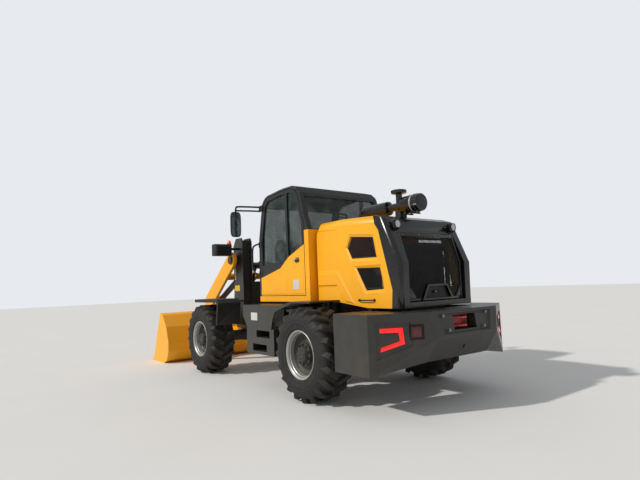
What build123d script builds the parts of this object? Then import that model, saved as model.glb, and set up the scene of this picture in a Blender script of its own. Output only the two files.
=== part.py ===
"""Compact articulated wheel loader with a closed cab, an arm with a bell crank and a bucket.

Millimetres. +X points forward, +Y to the left, +Z up. The origin is on the ground, halfway
along the machine and on its centre line.
"""

import os
from math import atan2, cos, hypot, radians, sin

from build123d import *

os.makedirs("parts", exist_ok=True)

# Chassis
wheelbase = 2820
rear_axle_x = -1845
front_axle_x = rear_axle_x + wheelbase
pivot_x = rear_axle_x + wheelbase / 2
track_half = 960
running_gap = 0.4
side_gap = 5

# Tyres and rims
lug_flat_radius = 531
tyre_width = 410
carcass_radius = 490
rim_seat_radius = 254
tyre_facets = 20
lug_count = 20
lug_width = 62
lug_angle = 32
lug_inner_edge = 12
rim_flange_radius = 277
rim_width = 366
rim_disc_inset = 95
hub_radius = 90
hub_seat_radius = 130
axle_radius = 85
axle_flange_radius = 150
axle_ball_radius = 190

# Sides of the bosses, bars and hidden bores that needn't be truly round
boss_sides = 12
bar_sides = 8
arm_sides = 24

# A pair of pins on one axis: the left one is truly round, which is enough to show the axis
pin_sides = {1: 0, -1: boss_sides}

# The slanting lugs' corners reach farther than their flats: a wheel rolls on those corners
lug_pitch = 360 / lug_count
lug_length_y = tyre_width / 2 - lug_width / 2 * sin(radians(lug_angle))
lug_half_run = (lug_length_y - lug_inner_edge) / 2 * sin(radians(lug_angle)) / cos(
    radians(lug_angle))
lug_corner_reach = lug_half_run + lug_width / 2 * cos(radians(lug_angle))
lug_corner_radius = hypot(lug_flat_radius, lug_corner_reach)
lug_corner_turn = atan2(lug_corner_reach, lug_flat_radius)
axle_z = lug_corner_radius * cos(radians(lug_pitch / 2) - lug_corner_turn)

# Frames
rail_bottom = 640
rail_top = 960
plate = 25
rear_rail_half = 360
rear_neck_back = -1000
rear_neck_half = 190
rear_frame_front = -660
rear_frame_back = -2925
front_neck_half = 240
front_neck_back = -120
front_neck_front = 420
front_frame_front = 1250
joint_ear_radius = 95
joint_ear_thick = 40
joint_ear_low = 660
joint_ear_high = 880
joint_pin_radius = 45
saddle_length = 180
mount_side = 70
cab_mount_rear_x = -1400
hood_mount_xs = (-1700, -2460)
beam_side = 50

# Tower on the front frame
tower_back = 660
tower_front = 1000
tower_top = 2150
tower_outer = 505
tower_inner = 325
tower_plate = 20
boom_pivot_x = 905
boom_pivot_z = 1790
boom_pin_radius = 45
lift_base_x = 905
lift_base_z = 1520
tilt_base_x = 855
tilt_base_z = 1700

# Boom, in its lowered position
arm_inner = 560
arm_thick = 50
arm_pivot_radius = 130
knee_x = 1850
knee_z = 1085
knee_radius = 136
bucket_pin_x = 2165
bucket_pin_z = 250
bucket_pin_radius = 35
arm_tip_radius = 64
cross_tube_x = 1354
cross_tube_z = 1525
cross_tube_radius = 58
crank_x = 1650
crank_z = 1400
lift_rod_x = 2005
lift_rod_z = 990
lift_stub_x = 1955
lift_stub_z = 1175
lift_stub_radius = 55

# Bell crank and link
crank_top_x = 1520
crank_top_z = 1722
crank_low_x = 1720
crank_low_z = 600
link_end_x = 2290
link_end_z = 500
crank_plate = 25
crank_pin_radius = 34
eye_half = 30
link_pin_radius = 28
linkage_eye_radius = 55

# Bucket
bucket_half = 1190
bucket_wall = 16
bucket_side = 22
bucket_ear = 30
tip_x = 3299

# Hydraulic cylinders: barrel and rod radii
lift_barrel_radius = 50
lift_rod_radius = 28
tilt_barrel_radius = 58
tilt_rod_radius = 32
steer_barrel_radius = 34
steer_rod_radius = 19
steer_eye_radius = 42
steer_pin_radius = 18
steer_base_x = -900
steer_base_y = 330
steer_rod_end_x = -190
steer_rod_end_y = 230
steer_z = 790

# Cab
cab_half = 700
cab_wall = 45
cab_bottom = 1110
cab_front_x = -220
cab_rear_x = -1482
sill_top = 1186
post_top = 2030
post_depth = 95
roof_split = 2560
roof_thick = 34
roof_bevel = 45
door_gap = 6
door_thick = 40
door_frame = 48
glass_thick = 6
hinge_x = -228
hinge_axis_x = -240
hinge_radius = 8
hinge_zs = (1480, 1900)
b_pillar_x = -1008
b_pillar_width = 46
skin_thick = 12
window_side = 75

# Hood
hood_half = 600
hood_wall = 25
hood_front_x = -1525
hood_top_z = 2098
hood_bottom_z = 1056
hood_edge_radius = 90
frame_corner_radius = 50
grille_half = 470
grille_bottom = 1095
grille_top = 1850
grille_hinge_x = -2818
grille_hinge_z = 1838
grille_hinge_radius = 10

# Counterweight
weight_half = 1105
weight_top = 1010
weight_bottom = 413
weight_front_x = -2435
weight_corner_x = -2960
weight_back_x = -tip_x
weight_core_half = 500
weight_ridge_z = 748
weight_top_lean = 40
weight_keel_x = -3147
weight_keel_z = 509
recess_depth = 22
weight_wing_inner = 640
weight_block_front = -2925

# Tow hitch
hitch_z = 880
hitch_mouth = 60
hitch_jaw = 22
hitch_bore = 40
hitch_pin_x = -3205
hitch_nose = 48
hitch_floor_x = -3140
hitch_pocket_half = 185
hitch_pocket_rise = 75
pin_hole_radius = 24

# Platform beside the cab
platform_half = 1050
platform_front = -330
platform_top = 1082
platform_plate = 20
arch_top = 1130
platform_beam_x = -1280
step_front = -435
step_back = -1145
step_top = 775
step_bottom = 440
step_depth = 330
foot_hole_depth = 210

# Front fenders and lamps
fender_top = 1160
fender_plate = 14
fender_inner = 760
fender_outer = 1140
fender_back = 345
fender_front = 1180
fender_low = 775


def side(y):
    """Plane facing right at height Y: its local axes are X and Z, and it extrudes toward -Y."""
    return Plane.XZ.offset(-y)


def save(part, name):
    """Label one finished piece and write its STEP file."""
    part.label = name
    export_step(part, f"parts/{name}.step")


def slab(points, y_high, y_low, mode=Mode.ADD):
    """Prism of an XZ outline between two Y planes, in the open part."""
    with BuildSketch(side(y_high)) as profile:
        with BuildLine():
            Polyline(*points, close=True)
        make_face()
    extrude(profile.sketch, amount=y_high - y_low, mode=mode)


def disc(radius, sides=0, around=False):
    """Circle, or a polygon in its place, within it or just around it."""
    if sides:
        RegularPolygon(radius, sides, major_radius=not around)
    else:
        Circle(radius)


def arm_plate(circles, y_high, y_low, sides=0):
    """Plate wrapped round a row of circles, each given as x, z and radius."""
    for (x1, z1, r1), (x2, z2, r2) in zip(circles, circles[1:]):
        with BuildSketch(side(y_high)) as profile:
            with Locations((x1, z1)):
                disc(r1, sides)
            with Locations((x2, z2)):
                disc(r2, sides)
            make_hull()
        extrude(profile.sketch, amount=y_high - y_low)


def disc_y(x, z, radius, y_high, y_low, mode=Mode.ADD, sides=0):
    """Pin, boss or bore along Y."""
    with BuildSketch(side(y_high)) as profile:
        with Locations((x, z)):
            disc(radius, sides, around=mode == Mode.SUBTRACT)
    extrude(profile.sketch, amount=y_high - y_low, mode=mode)


def field(points, y_edge, y_face, slope, mode=Mode.ADD):
    """Raised or sunk field of an XZ outline on a side wall, with a sloping border."""
    with BuildSketch(side(y_edge)) as border:
        with BuildLine():
            Polyline(*points, close=True)
        make_face()
    with BuildSketch(side(y_face)) as face:
        with BuildLine():
            Polyline(*points, close=True)
        make_face()
        offset(amount=-slope, kind=Kind.INTERSECTION, mode=Mode.REPLACE)
    loft([border.sketch.face(), face.sketch.face()], ruled=True, mode=mode)


def block(x_low, x_high, y_low, y_high, z_low, z_high, mode=Mode.ADD):
    """Straight block between six planes."""
    with BuildSketch(Plane.XY.offset(z_low)) as profile:
        with Locations(((x_low + x_high) / 2, (y_low + y_high) / 2)):
            Rectangle(x_high - x_low, y_high - y_low)
    extrude(profile.sketch, amount=z_high - z_low, mode=mode)


def rod_between(start, end, radius, mode=Mode.ADD, sides=0):
    """Bar or bore from one point to another."""
    start, end = Vector(*start), Vector(*end)
    with BuildSketch(Plane(origin=start, z_dir=end - start)) as profile:
        disc(radius, sides, around=True)
    extrude(profile.sketch, amount=(end - start).length, mode=mode)


def along(start, end, distance):
    """Point on the way from start to end at a distance from start."""
    start, end = Vector(*start), Vector(*end)
    return start + (end - start).normalized() * distance


# Tyre: a faceted carcass with two rows of slanting lugs, its axis along Y
carcass_levels = [
    # share of half width, radius
    (-0.82, rim_seat_radius),
    (-1.0, 405),
    (-0.74, carcass_radius),
    (0.74, carcass_radius),
    (1.0, 405),
    (0.82, rim_seat_radius),
]
lug_chamfer_y = 38
lug_root = 440

with BuildPart() as lug:
    run = Plane(origin=(0, 0, 0), x_dir=(sin(radians(lug_angle)), cos(radians(lug_angle)), 0),
                z_dir=(cos(radians(lug_angle)), -sin(radians(lug_angle)), 0))
    stretch = 1 / cos(radians(lug_angle))
    middle = (lug_inner_edge + lug_length_y) / 2
    shift = middle * sin(radians(lug_angle)) * stretch
    with BuildSketch(run.offset(-lug_width / 2)):
        with BuildLine():
            Polyline(
                (lug_inner_edge * stretch, lug_root),
                (lug_inner_edge * stretch, lug_flat_radius),
                ((lug_length_y - lug_chamfer_y) * stretch, lug_flat_radius),
                (lug_length_y * stretch, lug_root - 25),
                close=True,
            )
        make_face()
    extrude(amount=lug_width)
lug_solid = Pos(-shift, 0, 0) * lug.part

with BuildPart() as tyre:
    for share, radius in carcass_levels:
        with BuildSketch(side(-share * tyre_width / 2)):
            RegularPolygon(radius, tyre_facets)
    loft(ruled=True)
    with BuildSketch(side(tyre_width / 2)):
        RegularPolygon(rim_seat_radius, tyre_facets)
    extrude(amount=tyre_width, mode=Mode.SUBTRACT)
    left_lugs = [Rot(0, 180 + index * lug_pitch, 0) * lug_solid for index in range(lug_count)]
    right_lugs = [
        Rot(0, 180 + (index + 0.5) * lug_pitch, 0) * mirror(lug_solid, about=Plane.XZ)
        for index in range(lug_count)
    ]
    add(left_lugs + right_lugs)

# Rim: a drop centre, a deep disc with a hub, and bolts left to the finish
rim_levels = [
    # share of half width, outer radius
    (-1.0, rim_flange_radius),
    (-0.95, rim_flange_radius),
    (-0.93, rim_seat_radius - running_gap),
    (0.93, rim_seat_radius - running_gap),
    (0.95, rim_flange_radius),
    (1.0, rim_flange_radius),
]
rim_inner = 232
rim_mouth = 252

with BuildPart() as rim:
    for (share_a, radius_a), (share_b, radius_b) in zip(rim_levels, rim_levels[1:]):
        with BuildSketch(side(share_a * rim_width / 2)):
            RegularPolygon(radius_a, tyre_facets)
        with BuildSketch(side(share_b * rim_width / 2)):
            RegularPolygon(radius_b, tyre_facets)
        loft(ruled=True)
    disc_front = rim_width / 2 - rim_disc_inset
    disc_back = disc_front - 30
    with BuildSketch(side(rim_width / 2)):
        RegularPolygon(rim_mouth, tyre_facets)
    with BuildSketch(side(disc_front)):
        RegularPolygon(rim_inner, tyre_facets)
    loft(ruled=True, mode=Mode.SUBTRACT)
    with BuildSketch(side(disc_back)):
        RegularPolygon(rim_inner, tyre_facets)
    extrude(amount=disc_back + rim_width / 2, mode=Mode.SUBTRACT)
    disc_y(0, 0, hub_seat_radius, disc_front + 40, disc_front, sides=boss_sides)
    disc_y(0, 0, hub_radius, disc_front + 75, disc_front + 40)

wheel_places = [
    # name, axle x, side
    ("front_left", front_axle_x, 1),
    ("front_right", front_axle_x, -1),
    ("rear_left", rear_axle_x, 1),
    ("rear_right", rear_axle_x, -1),
]
for name, axle_x, hand in wheel_places:
    for piece, kind in ((tyre.part, "tyre"), (rim.part, "rim")):
        turned = piece if hand > 0 else mirror(piece, about=Plane.XZ)
        save(Pos(axle_x, hand * track_half, axle_z) * turned, f"{kind}_{name}")

# Axles: a banjo housing with a ball in the middle and a flange at each wheel
flange_out = track_half + rim_width / 2 - rim_disc_inset - 30 - running_gap
axle_stations = [
    # distance from the middle, radius
    (0, axle_ball_radius),
    (60, axle_ball_radius),
    (230, axle_radius + 25),
    (420, axle_radius),
    (660, axle_radius),
    (700, axle_flange_radius),
    (flange_out, axle_flange_radius),
]
for name, axle_x, rail in (
    ("front_axle", front_axle_x, tower_inner + tower_plate),
    ("rear_axle", rear_axle_x, rear_rail_half),
):
    with BuildPart() as axle:
        for reach, radius in axle_stations:
            with BuildSketch(side(-reach)):
                RegularPolygon(radius, boss_sides)
        loft(ruled=True)
        mirror(about=Plane.XZ)
        for hand in (1, -1):
            block(-saddle_length / 2, saddle_length / 2, hand * (rail - plate) - plate,
                  hand * (rail - plate) + plate, 0, rail_bottom - axle_z)
    save(Pos(axle_x, 0, axle_z) * axle.part, name)

# Rear frame: two rails, cross plates, and single ears on the centre pivot
with BuildPart() as rear_frame:
    for hand in (1, -1):
        y_edge = hand * (rear_rail_half - plate / 2)
        block(rear_frame_back, rear_neck_back, y_edge - plate / 2, y_edge + plate / 2,
              rail_bottom, rail_top)
        neck_y = hand * (rear_neck_half - plate / 2)
        block(rear_neck_back, rear_frame_front, neck_y - plate / 2, neck_y + plate / 2,
              rail_bottom, rail_top)
    for cross_x in (-1600, -2400, rear_frame_back):
        block(cross_x, cross_x + plate, -rear_rail_half + plate, rear_rail_half - plate,
              rail_bottom, rail_top)
    block(rear_frame_front - plate, rear_frame_front, -rear_neck_half, rear_neck_half,
          rail_bottom, rail_top)
    block(rear_neck_back - plate, rear_neck_back, -rear_rail_half, rear_rail_half,
          rail_bottom, rail_top)
    for x_low, y_high in ((rear_frame_front - mount_side, rear_neck_half),
                          (cab_mount_rear_x, rear_rail_half)):
        for hand in (1, -1):
            low, high = sorted((hand * (y_high - mount_side), hand * y_high))
            block(x_low, x_low + mount_side, low, high, rail_top - plate, cab_bottom)
    for x_low in hood_mount_xs:
        block(x_low, x_low + beam_side, -hood_half + hood_wall, hood_half - hood_wall,
              rail_top - beam_side, rail_top)
        for hand in (1, -1):
            low, high = sorted((hand * (hood_half - hood_wall - beam_side),
                                hand * (hood_half - hood_wall)))
            block(x_low, x_low + beam_side, low, high, rail_top - beam_side,
                  hood_bottom_z + 2 * beam_side)
    for ear_z in (joint_ear_low, joint_ear_high):
        with BuildSketch(Plane.XY.offset(ear_z)):
            with BuildLine():
                Polyline(
                    (rear_frame_front, -rear_neck_half),
                    (pivot_x, -joint_ear_radius),
                    (pivot_x, joint_ear_radius),
                    (rear_frame_front, rear_neck_half),
                    close=True,
                )
            make_face()
            with Locations((pivot_x, 0)):
                RegularPolygon(joint_ear_radius, boss_sides)
                RegularPolygon(joint_pin_radius + running_gap, boss_sides, major_radius=False,
                               mode=Mode.SUBTRACT)
        extrude(amount=joint_ear_thick)
    for hand in (1, -1):
        for bracket_z in (steer_z - 60, steer_z + 40):
            with BuildSketch(Plane.XY.offset(bracket_z)):
                with BuildLine():
                    Polyline(
                        (rear_neck_back, hand * rear_neck_half),
                        (rear_neck_back, hand * (steer_base_y + 25)),
                        (steer_base_x + 25, hand * (steer_base_y + 40)),
                        (steer_base_x + 60, hand * rear_neck_half),
                        close=True,
                    )
                make_face()
            extrude(amount=20)
        with BuildSketch(Plane.XY.offset(steer_z - 60)):
            with Locations((steer_base_x, hand * steer_base_y)):
                Circle(steer_pin_radius)
        extrude(amount=120)
save(rear_frame.part, "rear_frame")

# Front frame: a neck with double ears, a box under the tower, and the tower's two posts
front_ear_thick = 35
ear_gap = 3
with BuildPart() as front_frame:
    for hand in (1, -1):
        neck_y = hand * (front_neck_half - plate / 2)
        body_y = hand * (tower_inner + tower_plate / 2)
        block(front_neck_back, front_neck_front, neck_y - plate / 2, neck_y + plate / 2,
              rail_bottom, rail_top)
        block(front_neck_front - plate, front_frame_front, body_y - tower_plate / 2,
              body_y + tower_plate / 2, rail_bottom, rail_top + 60)
        slab([(tower_back, rail_bottom), (tower_front + 120, rail_bottom),
              (tower_front, 1250), (tower_front, tower_top - 120),
              (tower_front - 90, tower_top), (tower_back + 60, tower_top),
              (tower_back + 20, tower_top - 60)],
             hand * (tower_inner + tower_plate / 2) + tower_plate / 2,
             hand * (tower_inner + tower_plate / 2) - tower_plate / 2)
        outer_mid = hand * (tower_outer - tower_plate / 2)
        slab([(tower_back, rail_bottom + 80), (tower_front + 60, rail_bottom + 80),
              (tower_front, 1250), (tower_front, tower_top - 120),
              (tower_front - 90, tower_top), (tower_back + 60, tower_top),
              (tower_back + 20, tower_top - 60)],
             outer_mid + tower_plate / 2, outer_mid - tower_plate / 2)
        web_low, web_high = sorted((hand * (tower_inner + tower_plate),
                                    hand * (tower_outer - tower_plate)))
        block(tower_back + 40, tower_back + 60, web_low, web_high, rail_bottom + 80,
              tower_top - 40)
        block(tower_back + 40, tower_front - 20, web_low, web_high, rail_bottom + 80,
              rail_bottom + 110)
        pin_low, pin_high = sorted((hand * tower_outer, hand * (arm_inner + arm_thick + 22)))
        disc_y(boom_pivot_x, boom_pivot_z, boom_pin_radius, pin_high, pin_low,
               sides=pin_sides[hand])
        tube_low, tube_high = sorted((hand * tower_inner, hand * tower_outer))
        disc_y(boom_pivot_x, boom_pivot_z, boom_pin_radius, tube_high, tube_low,
               sides=boss_sides)
        boss_low, boss_high = sorted((hand * tower_outer, hand * (arm_inner - side_gap)))
        disc_y(boom_pivot_x, boom_pivot_z, 80, boss_high, boss_low, sides=boss_sides)
        cap_low, cap_high = sorted((hand * (arm_inner + arm_thick + side_gap),
                                    hand * (arm_inner + arm_thick + 22)))
        disc_y(boom_pivot_x, boom_pivot_z, 70, cap_high, cap_low, sides=boss_sides)
        disc_y(lift_base_x, lift_base_z, 25, web_high, web_low)
    for cross_x in (front_neck_back, front_neck_front - plate):
        half = front_neck_half if cross_x < 0 else tower_inner + tower_plate
        block(cross_x, cross_x + plate, -half, half, rail_bottom, rail_top)
    block(front_frame_front - plate, front_frame_front, -tower_inner, tower_inner,
          rail_bottom, rail_top)
    block(front_neck_front - plate, front_frame_front, -tower_inner, tower_inner,
          rail_top - plate, rail_top)
    block(tower_back + 20, tower_back + 40, -tower_inner, tower_inner, rail_top, 1420)
    disc_y(tilt_base_x, tilt_base_z, 40, tower_inner, 60, sides=boss_sides)
    disc_y(tilt_base_x, tilt_base_z, 40, -60, -tower_inner, sides=boss_sides)
    disc_y(tilt_base_x, tilt_base_z, 28, 70, -70)
    for hand in (1, -1):
        disc_y(tilt_base_x, tilt_base_z, 70, hand * 75 + 15, hand * 75 - 15, sides=boss_sides)
    for ear_z in (joint_ear_low - ear_gap - front_ear_thick, joint_ear_low + joint_ear_thick
                  + ear_gap, joint_ear_high - ear_gap - front_ear_thick,
                  joint_ear_high + joint_ear_thick + ear_gap):
        with BuildSketch(Plane.XY.offset(ear_z)):
            with BuildLine():
                Polyline(
                    (front_neck_back, -200),
                    (pivot_x, -joint_ear_radius),
                    (pivot_x, joint_ear_radius),
                    (front_neck_back, 200),
                    close=True,
                )
            make_face()
            with Locations((pivot_x, 0)):
                RegularPolygon(joint_ear_radius, boss_sides)
        extrude(amount=front_ear_thick)
    for ear_z, sides in ((joint_ear_low, 0), (joint_ear_high, boss_sides)):
        with BuildSketch(Plane.XY.offset(ear_z - ear_gap - 5)):
            with Locations((pivot_x, 0)):
                disc(joint_pin_radius, sides)
        extrude(amount=joint_ear_thick + 2 * ear_gap + 10)
    for hand in (1, -1):
        for bracket_z in (steer_z - 60, steer_z + 40):
            with BuildSketch(Plane.XY.offset(bracket_z)):
                with BuildLine():
                    Polyline(
                        (front_neck_back, hand * 120),
                        (steer_rod_end_x - 40, hand * (steer_rod_end_y - 45)),
                        (steer_rod_end_x - 40, hand * (steer_rod_end_y + 30)),
                        (front_neck_back, hand * (steer_rod_end_y + 40)),
                        (front_neck_back + 60, hand * front_neck_half),
                        (front_neck_back + 60, hand * 120),
                        close=True,
                    )
                make_face()
            extrude(amount=20)
save(front_frame.part, "front_frame")

# Front fenders: a top plate and a rear flap over each front tyre, on a bracket to the post
with BuildPart() as front_fenders:
    for hand in (1, -1):
        low, high = sorted((hand * fender_inner, hand * fender_outer))
        slab([(fender_front, fender_top), (fender_back, fender_top),
              (fender_back - 60, fender_top - 60), (fender_back - 5, fender_low),
              (fender_back - 5 + fender_plate, fender_low),
              (fender_back - 60 + fender_plate, fender_top - 66),
              (fender_back + 6, fender_top - fender_plate),
              (fender_front, fender_top - fender_plate)], high, low)
        low, high = sorted((hand * tower_outer, hand * fender_inner))
        block(tower_back, tower_back + 200, low, high, fender_top - 60, fender_top - 40)
        block(tower_back, tower_back + 200, *sorted((hand * fender_inner,
              hand * (fender_inner + 20))), fender_top - 60, fender_top - fender_plate)
save(front_fenders.part, "front_fenders")

# Head lamps beside the tower
lamp_back = 735
with BuildPart() as head_lamps:
    for hand in (1, -1):
        low, high = sorted((hand * 645, hand * 955))
        block(lamp_back, lamp_back + 165, low, high, 1850, 2050)
        low, high = sorted((hand * tower_outer, hand * 645))
        block(lamp_back, lamp_back + 45, low, high, 1925, 2010)
        with BuildSketch(Plane.XY.offset(2050)):
            with Locations((lamp_back + 50, hand * 690)):
                RegularPolygon(38, boss_sides)
        extrude(amount=60, taper=12)
save(head_lamps.part, "head_lamps")

# Boom: two cranked arms, a cross tube with the crank's ears, and ears for the lift rods
arm_line = [
    # x, z, radius
    (boom_pivot_x, boom_pivot_z, arm_pivot_radius),
    (knee_x, knee_z, knee_radius),
    (bucket_pin_x, bucket_pin_z, arm_tip_radius),
]
crank_ear_inner = eye_half + side_gap + crank_plate + side_gap + 2
lift_mid = (tower_inner + tower_outer) / 2
with BuildPart() as boom:
    for hand in (1, -1):
        low, high = sorted((hand * arm_inner, hand * (arm_inner + arm_thick)))
        arm_plate(arm_line, high, low, arm_sides)
        for x, z, pin in ((boom_pivot_x, boom_pivot_z, boom_pin_radius),
                          (bucket_pin_x, bucket_pin_z, bucket_pin_radius)):
            disc_y(x, z, pin + running_gap, high + 1, low - 1, Mode.SUBTRACT, boss_sides)
        stub_low, stub_high = sorted((hand * (lift_mid - 60), hand * arm_inner))
        disc_y(lift_stub_x, lift_stub_z, lift_stub_radius, stub_high, stub_low, sides=boss_sides)
        for ear_y in (lift_mid - 50, lift_mid + 50):
            arm_plate([(lift_stub_x, lift_stub_z, lift_stub_radius),
                       (lift_rod_x, lift_rod_z, 48)], hand * ear_y + 10, hand * ear_y - 10,
                      boss_sides)
        ear_mid = hand * (crank_ear_inner + 15)
        arm_plate([(cross_tube_x, cross_tube_z, cross_tube_radius + 20),
                   (crank_x, crank_z, 60)], ear_mid + 15, ear_mid - 15, boss_sides)
        disc_y(crank_x, crank_z, crank_pin_radius + running_gap, ear_mid + 16, ear_mid - 16,
               Mode.SUBTRACT, boss_sides)
    disc_y(cross_tube_x, cross_tube_z, cross_tube_radius, arm_inner, -arm_inner,
           sides=arm_sides)
save(boom.part, "boom")

# Bell crank: two plates joined at the pivot tube, with its pins
plate_in = eye_half + side_gap
plate_out = plate_in + crank_plate
crank_line = [
    # x, z, radius
    (crank_top_x, crank_top_z, linkage_eye_radius),
    (crank_x, crank_z, 72),
    (crank_low_x, crank_low_z, linkage_eye_radius),
]
with BuildPart() as bell_crank:
    for hand in (1, -1):
        low, high = sorted((hand * plate_in, hand * plate_out))
        arm_plate(crank_line, high, low, boss_sides)
    disc_y(crank_x, crank_z, 60, plate_in, -plate_in, sides=boss_sides)
    disc_y(crank_x, crank_z, crank_pin_radius, crank_ear_inner + 36, 0)
    disc_y(crank_x, crank_z, crank_pin_radius, 0, -crank_ear_inner - 36, sides=boss_sides)
save(bell_crank.part, "bell_crank")

# Link from the crank down to the bucket
with BuildPart() as tilt_link:
    arm_plate([(crank_low_x, crank_low_z, linkage_eye_radius),
               (link_end_x, link_end_z, linkage_eye_radius)], 22, -22, boss_sides)
    for x, z in ((crank_low_x, crank_low_z), (link_end_x, link_end_z)):
        disc_y(x, z, linkage_eye_radius, eye_half, -eye_half, sides=boss_sides)
    disc_y(link_end_x, link_end_z, link_pin_radius + running_gap, eye_half + 1,
           -eye_half - 1, Mode.SUBTRACT, boss_sides)
save(tilt_link.part, "tilt_link")

# Bucket: curved back, floor, two cheeks, a cutting edge, and ears for the arms and the link
bucket_outer = [
    # x, z of the outside from the tip, along the floor and up the back
    (tip_x, 0),
    (2560, 0),
    (2400, 60),
    (2318, 215),
    (2312, 400),
    (2427, 661),
    (2613, 872),
    (2731, 905),
]
bucket_inner = [
    (2731, 905 - bucket_wall),
    (2622, 872 - 18),
    (2441, 650),
    (2329, 396),
    (2335, 220),
    (2411, 74),
    (2565, bucket_wall),
    (tip_x - 60, bucket_wall),
]
with BuildPart() as bucket:
    slab(bucket_outer + bucket_inner, bucket_half, -bucket_half)
    for hand in (1, -1):
        low, high = sorted((hand * (bucket_half - bucket_side), hand * bucket_half))
        slab(bucket_outer[1:] + [(2760, 880), (3120, 60), (tip_x - 40, 4)], high, low)
        for ear_low in (arm_inner - 12 - bucket_ear, arm_inner + arm_thick + 12):
            low, high = sorted((hand * ear_low, hand * (ear_low + bucket_ear)))
            slab([(2125, 270), (2165, 190), (2330, 120), (2412, 70), (2325, 215),
                  (2322, 400), (2365, 512), (2300, 480), (2165, 350)], high, low)
            disc_y(bucket_pin_x, bucket_pin_z, 84, high, low, sides=boss_sides)
        low, high = sorted((hand * (arm_inner - 12 - bucket_ear),
                            hand * (arm_inner + arm_thick + 12 + bucket_ear)))
        disc_y(bucket_pin_x, bucket_pin_z, bucket_pin_radius, high, low,
               sides=pin_sides[hand])
        low, high = sorted((hand * plate_in, hand * (plate_in + crank_plate)))
        slab([(2290, 555), (2240, 500), (2316, 300), (2322, 400), (2432, 655)], high, low)
        disc_y(link_end_x, link_end_z, linkage_eye_radius, high, low, sides=boss_sides)
    disc_y(link_end_x, link_end_z, link_pin_radius, plate_in, -plate_in)
save(bucket.part, "bucket")

# Lift cylinders, one each side inside the tower posts
lift_length = hypot(lift_rod_x - lift_base_x, lift_rod_z - lift_base_z)
with BuildPart() as lift_barrels:
    for hand in (1, -1):
        mid = hand * lift_mid
        base = Vector(lift_base_x, mid, lift_base_z)
        tip = Vector(lift_rod_x, mid, lift_rod_z)
        rod_between(base, along(base, tip, lift_length * 0.72), lift_barrel_radius,
                    sides=arm_sides)
        disc_y(lift_base_x, lift_base_z, 55, mid + 40, mid - 40, sides=boss_sides)
        disc_y(lift_base_x, lift_base_z, 25 + running_gap, mid + 60, mid - 60,
               Mode.SUBTRACT, boss_sides)
        rod_between(along(base, tip, 90), along(base, tip, lift_length), lift_rod_radius
                    + running_gap, Mode.SUBTRACT, boss_sides)
save(lift_barrels.part, "lift_barrels")

with BuildPart() as lift_rods:
    for hand in (1, -1):
        mid = hand * lift_mid
        base = Vector(lift_base_x, mid, lift_base_z)
        tip = Vector(lift_rod_x, mid, lift_rod_z)
        rod_between(along(base, tip, 250), tip, lift_rod_radius, sides=boss_sides)
        disc_y(lift_rod_x, lift_rod_z, 44, mid + 34, mid - 34, sides=boss_sides)
save(lift_rods.part, "lift_rods")

# Tilt cylinder on the centre line, from the tower to the top of the bell crank
tilt_base = Vector(tilt_base_x, 0, tilt_base_z)
tilt_tip = Vector(crank_top_x, 0, crank_top_z)
tilt_length = (tilt_tip - tilt_base).length
with BuildPart() as tilt_barrel:
    rod_between(tilt_base, along(tilt_base, tilt_tip, tilt_length * 0.68), tilt_barrel_radius,
                sides=arm_sides)
    disc_y(tilt_base_x, tilt_base_z, 60, 52, -52, sides=boss_sides)
    disc_y(tilt_base_x, tilt_base_z, 28 + running_gap, 80, -80, Mode.SUBTRACT, boss_sides)
    rod_between(along(tilt_base, tilt_tip, 90), tilt_tip, tilt_rod_radius + running_gap,
                Mode.SUBTRACT, boss_sides)
save(tilt_barrel.part, "tilt_barrel")

with BuildPart() as tilt_rod:
    rod_between(along(tilt_base, tilt_tip, 200), tilt_tip, tilt_rod_radius, sides=boss_sides)
    disc_y(crank_top_x, crank_top_z, 50, eye_half, -eye_half, sides=boss_sides)
save(tilt_rod.part, "tilt_rod")

# Steering cylinders, one each side of the centre pivot
for name, hand in (("left", 1), ("right", -1)):
    base = Vector(steer_base_x, hand * steer_base_y, steer_z)
    tip = Vector(steer_rod_end_x, hand * steer_rod_end_y, steer_z)
    length = (tip - base).length
    with BuildPart() as steer_barrel:
        rod_between(base, along(base, tip, length * 0.60), steer_barrel_radius,
                    sides=boss_sides)
        with BuildSketch(Plane.XY.offset(steer_z - 38)):
            with Locations((base.X, base.Y)):
                RegularPolygon(steer_eye_radius, boss_sides)
        extrude(amount=76)
        with BuildSketch(Plane.XY.offset(steer_z - 60)):
            with Locations((base.X, base.Y)):
                RegularPolygon(steer_pin_radius + running_gap, boss_sides, major_radius=False)
        extrude(amount=120, mode=Mode.SUBTRACT)
        rod_between(along(base, tip, 60), tip, steer_rod_radius + running_gap,
                    Mode.SUBTRACT, boss_sides)
    save(steer_barrel.part, f"steer_barrel_{name}")
    with BuildPart() as steer_rod:
        rod_between(along(base, tip, 260), tip, steer_rod_radius, sides=boss_sides)
        with BuildSketch(Plane.XY.offset(steer_z - 32)):
            with Locations((tip.X, tip.Y)):
                RegularPolygon(32, boss_sides)
        extrude(amount=64)
    save(steer_rod.part, f"steer_rod_{name}")

# Cab: the outline seen from the side, then a lower body, an upper frame and a roof cap
cab_outline = [
    # x, z
    (cab_front_x, cab_bottom),
    (cab_front_x, 1470),
    (-228, 2016),
    (-345, 2538),
    (-466, 2636),
    (-852, 2674),
    (-1105, 2670),
    (-1215, 2636),
    (-1300, 2552),
    (-1348, 2420),
    (-1400, 2224),
    (cab_rear_x, post_top),
    (cab_rear_x, cab_bottom),
]
tall = 3000


def cab_solid(shrink, half_width, mode=Mode.ADD):
    """Cab outline moved inwards by shrink and stretched over the cab's width."""
    with BuildSketch(side(half_width)) as profile:
        with BuildLine():
            Polyline(*cab_outline, close=True)
        make_face()
        if shrink:
            offset(amount=-shrink, kind=Kind.INTERSECTION, mode=Mode.REPLACE)
    extrude(profile.sketch, amount=2 * half_width, mode=mode)


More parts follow.
